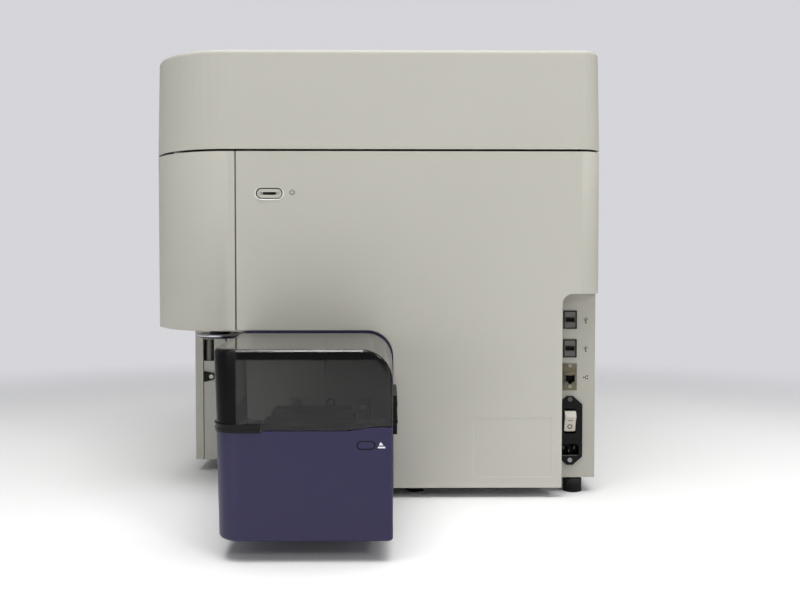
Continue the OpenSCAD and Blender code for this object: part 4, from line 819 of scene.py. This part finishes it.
# %% Eject mark
mark_y, mark_low, mark_high, mark_half = 0.0177, 0.1142, 0.1204, 3.6 * MM
bar_high, gap_above = 1.7 * MM, 1.0 * MM
wedge_low = mark_low + bar_high + gap_above
wedge = disc((tub_face, mark_y, mark_low + 3.0 * MM), 2.0 * MM, 2 * PROUD, points=3)
peak = max(v.co.z for v in wedge.data.vertices)
shift(wedge, lambda co: co.z > peak - NEAR, (0, 0, mark_high - peak))
foot = min(v.co.z for v in wedge.data.vertices)
shift(wedge, lambda co: co.z < foot + NEAR, (0, 0, wedge_low - foot))
wide = max(v.co.y for v in wedge.data.vertices) - mark_y
for way in (1, -1):
    shift(wedge, lambda co: co.z < wedge_low + NEAR and way * (co.y - mark_y) > 0.5 * MM,
          (0, way * (mark_half - wide), 0))
soften(wedge, 0.06 * MM)
under = inlay_bar(tub_face, (mark_y - mark_half, mark_low), (mark_y + mark_half, mark_low + bar_high))
finish_piece(join([wedge, under]), "eject_mark", "purple", wears="ink_pale")

# %% [markdown]
# ## The data sockets
#
# Each socket is a black frame that snaps into the sheet, with a raised rim, a plated shell round a wide
# flat mouth and a tongue that carries the contacts. The frame starts as a box whose front is inset and
# pushed in twice; the shell is the same move again on a smaller box. One socket is modelled, and copied
# for the second place.

# %% Shape one data socket and copy it
data_low, data_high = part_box("usb_ports")
port_y = (data_low.y + data_high.y) / 2
recess_face = data_high.x - 1.5 * MM
frame_half = (8.65 * MM, 11.8 * MM)
upper_z, lower_z = data_high.z - frame_half[1], data_low.z + frame_half[1]


def slab(back, front, half, low, high):
    """A box that lies evenly about the sockets' middle line."""
    return block((back, port_y - half, low), (front, port_y + half, high))


def faces_out(mid, normal):
    """Faces that look along X."""
    return normal.x > 0.9


rim_face = recess_face + 1.6 * MM
shell_half = (6.3 * MM, 3.4 * MM)
rim_wide, floor_wide = 1.5 * MM, 0.9 * MM
socket_frame = slab(recess_face - 9 * MM, rim_face, frame_half[0],
                    lower_z - frame_half[1], lower_z + frame_half[1])
choose(socket_frame, "FACE", faces_out)
bpy.ops.mesh.inset(thickness=rim_wide)
push(-1.1 * MM, 0, 0)
bpy.ops.mesh.inset(thickness=floor_wide)
draw_in = [shell / (half - rim_wide - floor_wide) for shell, half in zip(shell_half, frame_half)]
bpy.ops.transform.resize(value=(1, *draw_in), center_override=(0, port_y, lower_z))
push(-7 * MM, 0, 0)
done()
soften(socket_frame, 0.35 * MM, 3)
paint(socket_frame, "black", "dull_metal",
      lambda mid, normal: normal.x > 0.9 and rim_face - 1.5 * MM < mid.x < rim_face - 0.8 * MM)

shell = slab(rim_face - 7.8 * MM, rim_face - 0.7 * MM, shell_half[0] - clear,
             lower_z - shell_half[1] + clear, lower_z + shell_half[1] - clear)
choose(shell, "FACE", faces_out)
bpy.ops.mesh.inset(thickness=0.45 * MM)
push(-6.6 * MM, 0, 0)
done()
soften(shell, 0.12 * MM)
# The shell's inside faces are painted black: painted shade in the socket's mouth.
paint(shell, "dull_metal", "black", lambda mid, normal: mid.x < rim_face - 0.9 * MM)

tongue_tip = rim_face - 2.0 * MM
tongue = slab(rim_face - 7.4 * MM, tongue_tip, 5.2 * MM, lower_z + 0.5 * MM, lower_z + 2.1 * MM)
round_edges(tongue, lambda co: co.x > tongue_tip - 0.1 * MM, 0.5 * MM, 3)
lower_socket = join([socket_frame, shell, paint(tongue, "black")])
upper_socket = seat(copy_of(lower_socket), (0, 0, upper_z - lower_z))
finish_piece(join([upper_socket, lower_socket]), "data_sockets", "black", stands_for=("usb_ports",))

# %% [markdown]
# ## The network socket
#
# Its nickel plate is held by two screws and carries a jack that stands out a little. The mouth is
# stepped: wide for the plug, then two narrower steps for its latch. The steps are cut one after another
# from the jack. Eight thin wires lie inside it, and two small windows beside the latch would light when
# the line is busy.

# %% Shape the plate and the jack
net_low, net_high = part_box("network_port")
net_z = (net_low.z + net_high.z) / 2
plate_front = recess_face + 1.5 * MM
plate = block((recess_face, net_low.y, net_low.z), (plate_front, net_high.y, net_high.z))
soften(plate, 0.5 * MM, 3)
jack_z = net_z - 1.6 * MM
jack_front = plate_front + 1.3 * MM
jack_half = (7.2 * MM, 8.2 * MM)
jack = slab(recess_face - 12 * MM, jack_front, jack_half[0], jack_z - jack_half[1], jack_z + jack_half[1])
beyond = plate_front + 3 * MM
for half, low, high in ((5.9, -4.6, 4.2), (3.1, -6.2, -3.5), (1.7, -7.6, -3.5)):
    carve(jack, slab(recess_face - 10.5 * MM, beyond, half * MM, jack_z + low * MM, jack_z + high * MM))
overlap = 0.3 * MM
carve(plate, slab(recess_face - 2 * MM, beyond, jack_half[0] - overlap, jack_z - jack_half[1] + overlap,
                  jack_z + jack_half[1] - overlap))
soften(jack, 0.15 * MM)
paint(jack, "plated", "black", lambda mid, normal: mid.x < plate_front + 0.2 * MM)
network_parts = [paint(plate, "plated"), jack]
print("jack has", len(jack.data.polygons), "faces")

# %% Add its wires and windows
wire_pitch, wire_half = 1.02 * MM, 0.2 * MM
wire_y = port_y - 3.5 * wire_pitch
wire = block((recess_face - 9.8 * MM, wire_y - wire_half, jack_z + 2.2 * MM),
             (plate_front - 1.5 * MM, wire_y + wire_half, jack_z + 2.6 * MM))
choose(wire, "FACE", faces_out)
bpy.ops.transform.translate(value=(0, 0, 1.2 * MM))
done()
network_parts.append(paint(wire, "cream"))
for index in range(1, 8):
    network_parts.append(seat(copy_of(wire), (0, index * wire_pitch, 0)))
for way in (-1, 1):
    window = disc((jack_front, port_y + way * 5.0 * MM, jack_z - 6.1 * MM), 1.1 * MM, 0.5 * MM, points=20)
    network_parts.append(paint(soften(window, 0.15 * MM), "dull_metal"))
finish_piece(join(network_parts), "network_socket", "plated", stands_for=("network_port",))

# %% [markdown]
# ## Screws
#
# A screw's head is a low cylinder with a cross-shaped recess, carved by two crossed bars and a short pin.
# One is modelled at a radius of a millimetre and copied to every place, each copy with its own size and
# turned by its own angle, as a hand leaves them.

# %% Model one screw
head = 0.55 * MM
first_screw = disc((0, 0, head / 2), 1 * MM, head, FACING_UP, points=32)
for turn in (0, math.pi / 2):
    arm = block((-0.6 * MM, -0.17 * MM, head * 0.2), (0.6 * MM, 0.17 * MM, head * 2))
    carve(first_screw, seat(arm, turn=(0, 0, turn)))
carve(first_screw, disc((0, 0, head), 0.38 * MM, head * 1.6, FACING_UP, points=20))


def screw(place, radius, turn, facing=FACING_X):
    """A copy of the screw whose head stands out along the facing, with a radius in millimetres."""
    return seat(seat(copy_of(first_screw), turn=(0, 0, turn), size=[radius] * 3), place, facing)


print("one screw has", len(first_screw.data.polygons), "faces")

# %% Screw the recess and the catch
inlet_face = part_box("power_inlet")[1].x
inlet_mid = centre_of("power_inlet")
catch_low, catch_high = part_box("door_catch")
catch_place = (catch_high.x, catch_high.y - 5.4 * MM, (catch_low.z + catch_high.z) / 2)
panel_screws = [
    paint(screw((inlet_face, port_y, inlet_mid.z - 38.2 * MM), 2.9, 0.3), "screw"),
    # The upper inlet screw gets the darker metal: painted shade for the shadow at the top of the recess.
    paint(screw((inlet_face, port_y, inlet_mid.z + 41.0 * MM), 2.9, 0.9), "dull_metal"),
    paint(screw((plate_front, port_y, net_z - 12.4 * MM), 2.4, 0.1), "screw"),
    paint(screw((plate_front, port_y, net_z + 14.6 * MM), 2.4, 0.7), "screw"),
    paint(screw(catch_place, 3.1, 0.5), "screw"),
]
finish_piece(join(panel_screws), "cross_head_screws", "steel", stands_for=("panel_screws",))

# %% [markdown]
# ## Marks on the rocker and beside the sockets
#
# The rocker carries a ring on its lower half and a bar at its crest. Both lie on faces that slope, so
# each mark is made flat at the origin, turned about the Y axis to its slope, and only then moved out to
# its place.

# %% Rocker marks
rocker_pivot = Vector((0.1545, port_y, inlet_mid.z + 12.3 * MM))


def on_slope(piece, out, up, slope):
    """Turns a mark to a slope of the rocker and moves it out from the pivot line."""
    return seat(piece, rocker_pivot + Vector((out * MM, 0, up * MM)), (0, math.radians(slope), 0))


off_mark = ring((0, 0, 0), 2.7 * MM, 0.7 * MM, points=40, round_points=8)
choose_all(off_mark)
bpy.ops.transform.resize(value=(0.4, 1, 1))
done()
on_slope(off_mark, 6.95, -7.1, 14.4)
on_mark = on_slope(inlay_bar(0, (-2.9 * MM, -bar_half), (2.9 * MM, bar_half)), 10.2, 1.2, 22.3)
finish_piece(join([off_mark, on_mark]), "rocker_marks", "black", body="power_rocker", wears="ink_dark")

# %% Small trees beside the sockets
tree_y, mark_drop = 0.2803, 0.8 * MM


def stick(start, end, thick):
    """A thin flat line between two points, given as (y, z), of the recess's face."""
    along, up = end[0] - start[0], end[1] - start[1]
    line = inlay_bar(0, (0, -thick / 2), (math.hypot(along, up), thick / 2))
    return seat(line, (recess_face, *start), (math.atan2(up, along), 0, 0))


def draw(middle_z, step, sticks, dots):
    """Sticks and dots round a middle. Sticks are (y, z, y, z, thickness), dots (y, z, radius, points)."""
    drawn = [stick((tree_y + y0 * step, middle_z + z0 * step), (tree_y + y1 * step, middle_z + z1 * step),
                   thick * step) for y0, z0, y1, z1, thick in sticks]
    return drawn + [inlay_dot(recess_face, tree_y + y * step, middle_z + z * step, radius * step, points)
                    for y, z, radius, points in dots]


# A stem with a dot below, a point above and a branch on either side, and one dot that branches to two.
data_mark = join(draw(
    lower_z - mark_drop, 1.3 * MM,
    [(0, -2.4, 0, 2.2, 0.6), (0, -1.2, -1.5, 0.2, 0.5), (0, -0.4, 1.5, 0.9, 0.5)],
    [(0, -2.4, 0.75, 24), (-1.5, 0.7, 0.6, 24), (1.5, 1.4, 0.6, 4), (0, 2.5, 0.85, 3)]))
network_mark = join(draw(
    net_z - mark_drop, 1.15 * MM,
    [(-2.2, 0, 0, 0, 0.6), (0, -1.7, 0, 1.7, 0.6), (0, 1.6, 2.2, 1.6, 0.6), (0, -1.6, 2.2, -1.6, 0.6)],
    [(-2.2, 0, 0.8, 24), (2.2, 1.6, 0.8, 24), (2.2, -1.6, 0.8, 24)]))
upper_mark = seat(copy_of(data_mark), (0, 0, upper_z - lower_z))
finish_piece(join([upper_mark, data_mark, network_mark]), "socket_marks", "sheet", wears="ink_dark")

# %% [markdown]
# ## The bright ring of the sample port
#
# The round head over the open bay wears a polished ring round its rim, the brightest thing in that
# corner. It is a plain ring whose tube is sunk into the rim, so that only its rounded outside stands out.

# %% Fit the port ring
port_low, port_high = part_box("sample_port_head")
port_mid = (port_low + port_high) / 2
port_reach = (port_high.x - port_low.x) / 2
rim_z = port_low.z + 10 * MM
port_ring = ring((port_mid.x, port_mid.y, rim_z), port_reach - 1.5 * MM, 2.1 * MM, FACING_UP, 96, 20)
finish_piece(port_ring, "port_trim_ring", "steel", wears="chrome")

# %% [markdown]
# ## The lid's hinge
#
# The leaf on the lid is a long folded strip with two rolled barrels, between which the tub's three
# barrels sit. The strip is a box with its outer edges bevelled and a shallow channel pushed into its
# face; the barrels are short cylinders with softened rims and a bore for the pin, joined to it by small
# webs.

# %% Shape the lid's hinge leaf
hinge_low, hinge_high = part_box("lid_hinge")
barrel_radius = 2.6 * MM
pin_y, pin_z = hinge_high.y - barrel_radius, hinge_low.z + barrel_radius
leaf_face, leaf_low, leaf_high = hinge_low.y + 4.6 * MM, pin_z + 3 * MM, pin_z + 27.6 * MM
leaf = block((hinge_low.x, hinge_low.y, leaf_low), (hinge_high.x, leaf_face, leaf_high))
round_edges(leaf, lambda co: co.y > leaf_face - 0.1 * MM, 0.8 * MM, 4)
choose(leaf, "FACE", lambda mid, normal: normal.y > 0.99)
bpy.ops.mesh.inset(thickness=2.2 * MM)
bpy.ops.transform.translate(value=(0, -0.8 * MM, 0))
done()
hinge_parts = [leaf]
barrel_pitch = (hinge_high.x - hinge_low.x) / 5
for index in (1, 3):
    start = hinge_low.x + index * barrel_pitch + 0.2 * MM
    end = start + barrel_pitch - 0.4 * MM
    middle = ((start + end) / 2, pin_y, pin_z)
    barrel = soften(disc(middle, barrel_radius, end - start, points=32), 0.3 * MM)
    carve(barrel, disc(middle, 1.5 * MM, 30 * MM, points=24))
    web = block((start, pin_y - 1.0 * MM, pin_z + 1.9 * MM), (end, pin_y + 1.7 * MM, pin_z + 4 * MM))
    hinge_parts += [barrel, web]
finish_piece(join(hinge_parts), "lid_hinge_leaf", "black", body="loader_lid", stands_for=("lid_hinge",))

# %% [markdown]
# ## Screws at the back
#
# The rear panel, the fans and the lid's hinge are held by the same kind of screw. They face backwards, so
# the same screw is turned a quarter about X before it goes to its place.

# %% Screws that face backwards
FACING_Y = (-math.pi / 2, 0, 0)
edge_in, fan_hole = 9 * MM, 35.5 * MM
rear_low, rear_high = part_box("rear_panel")
left_x, right_x = rear_low.x + edge_in, rear_high.x - edge_in
low_z, high_z = rear_low.z + edge_in, rear_high.z - edge_in
rear_places = [(left_x, low_z), (left_x, (low_z + high_z) / 2), (left_x, high_z), (-0.15, high_z),
               (0.02, high_z), (right_x, high_z), (-0.20, low_z), (-0.02, low_z)]
rear_screws = [screw((x, rear_high.y, z), 3.2, 0.7 * index, FACING_Y)
               for index, (x, z) in enumerate(rear_places)]
for fan in ("left_fan_rotor", "right_fan_rotor"):
    hub = centre_of(fan)
    for way_x in (-1, 1):
        for way_z in (-1, 1):
            place = (hub.x + way_x * fan_hole, rear_high.y, hub.z + way_z * fan_hole)
            rear_screws.append(screw(place, 2.6, 0.4 + way_x + way_z, FACING_Y))
finish_piece(join(rear_screws), "rear_screws", "steel")

hinge_screws = []
for index in range(4):
    place = (hinge_low.x + (14 + 22.3 * index) * MM, leaf_face - 0.8 * MM, pin_z + 16 * MM)
    hinge_screws.append(screw(place, 2.3, 0.8 * index, FACING_Y))
finish_piece(join(hinge_screws), "lid_hinge_screws", "black", body="loader_lid")
pick(first_screw)
bpy.ops.object.delete()

# %% [markdown]
# ## Life on the circuit board
#
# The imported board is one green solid. On a real one the chips are black, the plugs are white and the
# capacitors have bright tops, so thin casings in those colours are fitted over the solid blocks. A chip
# is a box with a chamfered rim and a small round dent that marks its first leg. One of each kind is
# modelled and copied along its row.

# %% Case the board's parts
board_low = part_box("control_board")[0]
board_thick, skin = 14, 0.2


def over_board(along, across, up):
    """A place over the board's upper face, in millimetres from its corner."""
    return board_low + Vector((along, across, board_thick + up)) * MM


def casing(along, across, size):
    """A box that covers one of the board's blocks with a thin skin."""
    return block(over_board(along - skin, across - skin, 0.1),
                 over_board(along + size[0] + skin, across + size[1] + skin, size[2] + 0.3))


chip = casing(30, 22, (24, 24, 3))
chip_top = over_board(0, 0, 3.3).z
round_edges(chip, lambda co: co.z > chip_top - 0.1 * MM, 0.7 * MM, 1)
carve(chip, disc(over_board(33, 25, 3.3), 1.0 * MM, 0.5 * MM, FACING_UP, points=16))

plug = casing(26, 96, (22, 9, 11))
choose(plug, "FACE", lambda mid, normal: normal.z > 0.9)
bpy.ops.mesh.inset(thickness=1.1 * MM)
push(0, 0, -0.15 * MM)
done()
soften(plug, 0.3 * MM)

can = disc(over_board(28, 70, 6.7), 5.2 * MM, 13.2 * MM, FACING_UP, points=32)
choose(can, "FACE", lambda mid, normal: normal.z > 0.9)
bpy.ops.mesh.inset(thickness=0.8 * MM)
bpy.ops.transform.translate(value=(0, 0, -0.05 * MM))
done()
paint(can, "black", "steel", lambda mid, normal: normal.z > 0.9)
soften(can, 0.5 * MM, 3, angle=50)

board_casings = (row_of(paint(chip, "black"), 4, 44 * MM) + row_of(paint(plug, "white_plastic"), 6, 30 * MM)
                 + row_of(can, 7, 25 * MM))
finish_piece(join(board_casings), "board_casings", "black")

# %% [markdown]
# ## Coloured filter tabs
#
# Every plug-in filter passes one colour, and its finger tab is capped in that colour so that a user puts
# the right one back. The cap is a small box with a grip waist, copied round both rings with its own mesh
# each time.

# %% Cap the filters
tints = (("cap_blue", (38, 92, 170)), ("cap_green", (60, 140, 74)), ("cap_yellow", (206, 168, 52)),
         ("cap_red", (170, 52, 46)))
for name, colour in tints:
    look[name] = finish(name.replace("cap", "filter_cap"), colour, 0.4, relief=0.1, grain_size=0.0006)
filter_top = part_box("filter_holders")[1].z
ring_low, ring_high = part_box("detector_rings")
ring_x = (ring_low.x + ring_high.x) / 2
ring_reach = (ring_high.x - ring_low.x) / 2
tab_out, tab_half = 32 * MM, (1.9 * MM, 6.4 * MM)
tab = block((tab_out - tab_half[0], -tab_half[1], filter_top - 6 * MM),
            (tab_out + tab_half[0], tab_half[1], filter_top + 0.4 * MM))
choose(tab, "FACE", lambda mid, normal: abs(normal.x) > 0.9)
bpy.ops.mesh.inset(thickness=1.2 * MM, use_individual=True)
bpy.ops.transform.resize(value=(0.86, 1, 1), center_override=(tab_out, 0, 0))
done()
soften(tab, 0.5 * MM, 3)
caps = []
for ring_y, first in ((ring_low.y + ring_reach, 0), (ring_high.y - ring_reach, 1)):
    for index in range(8):
        cap = seat(copy_of(tab), (ring_x, ring_y, 0), (0, 0, math.radians(45 * index)))
        caps.append(paint(cap, tints[(index + first) % len(tints)][0]))
finish_piece(join(caps), "filter_caps", "white_plastic")
pick(tab)
bpy.ops.object.delete()
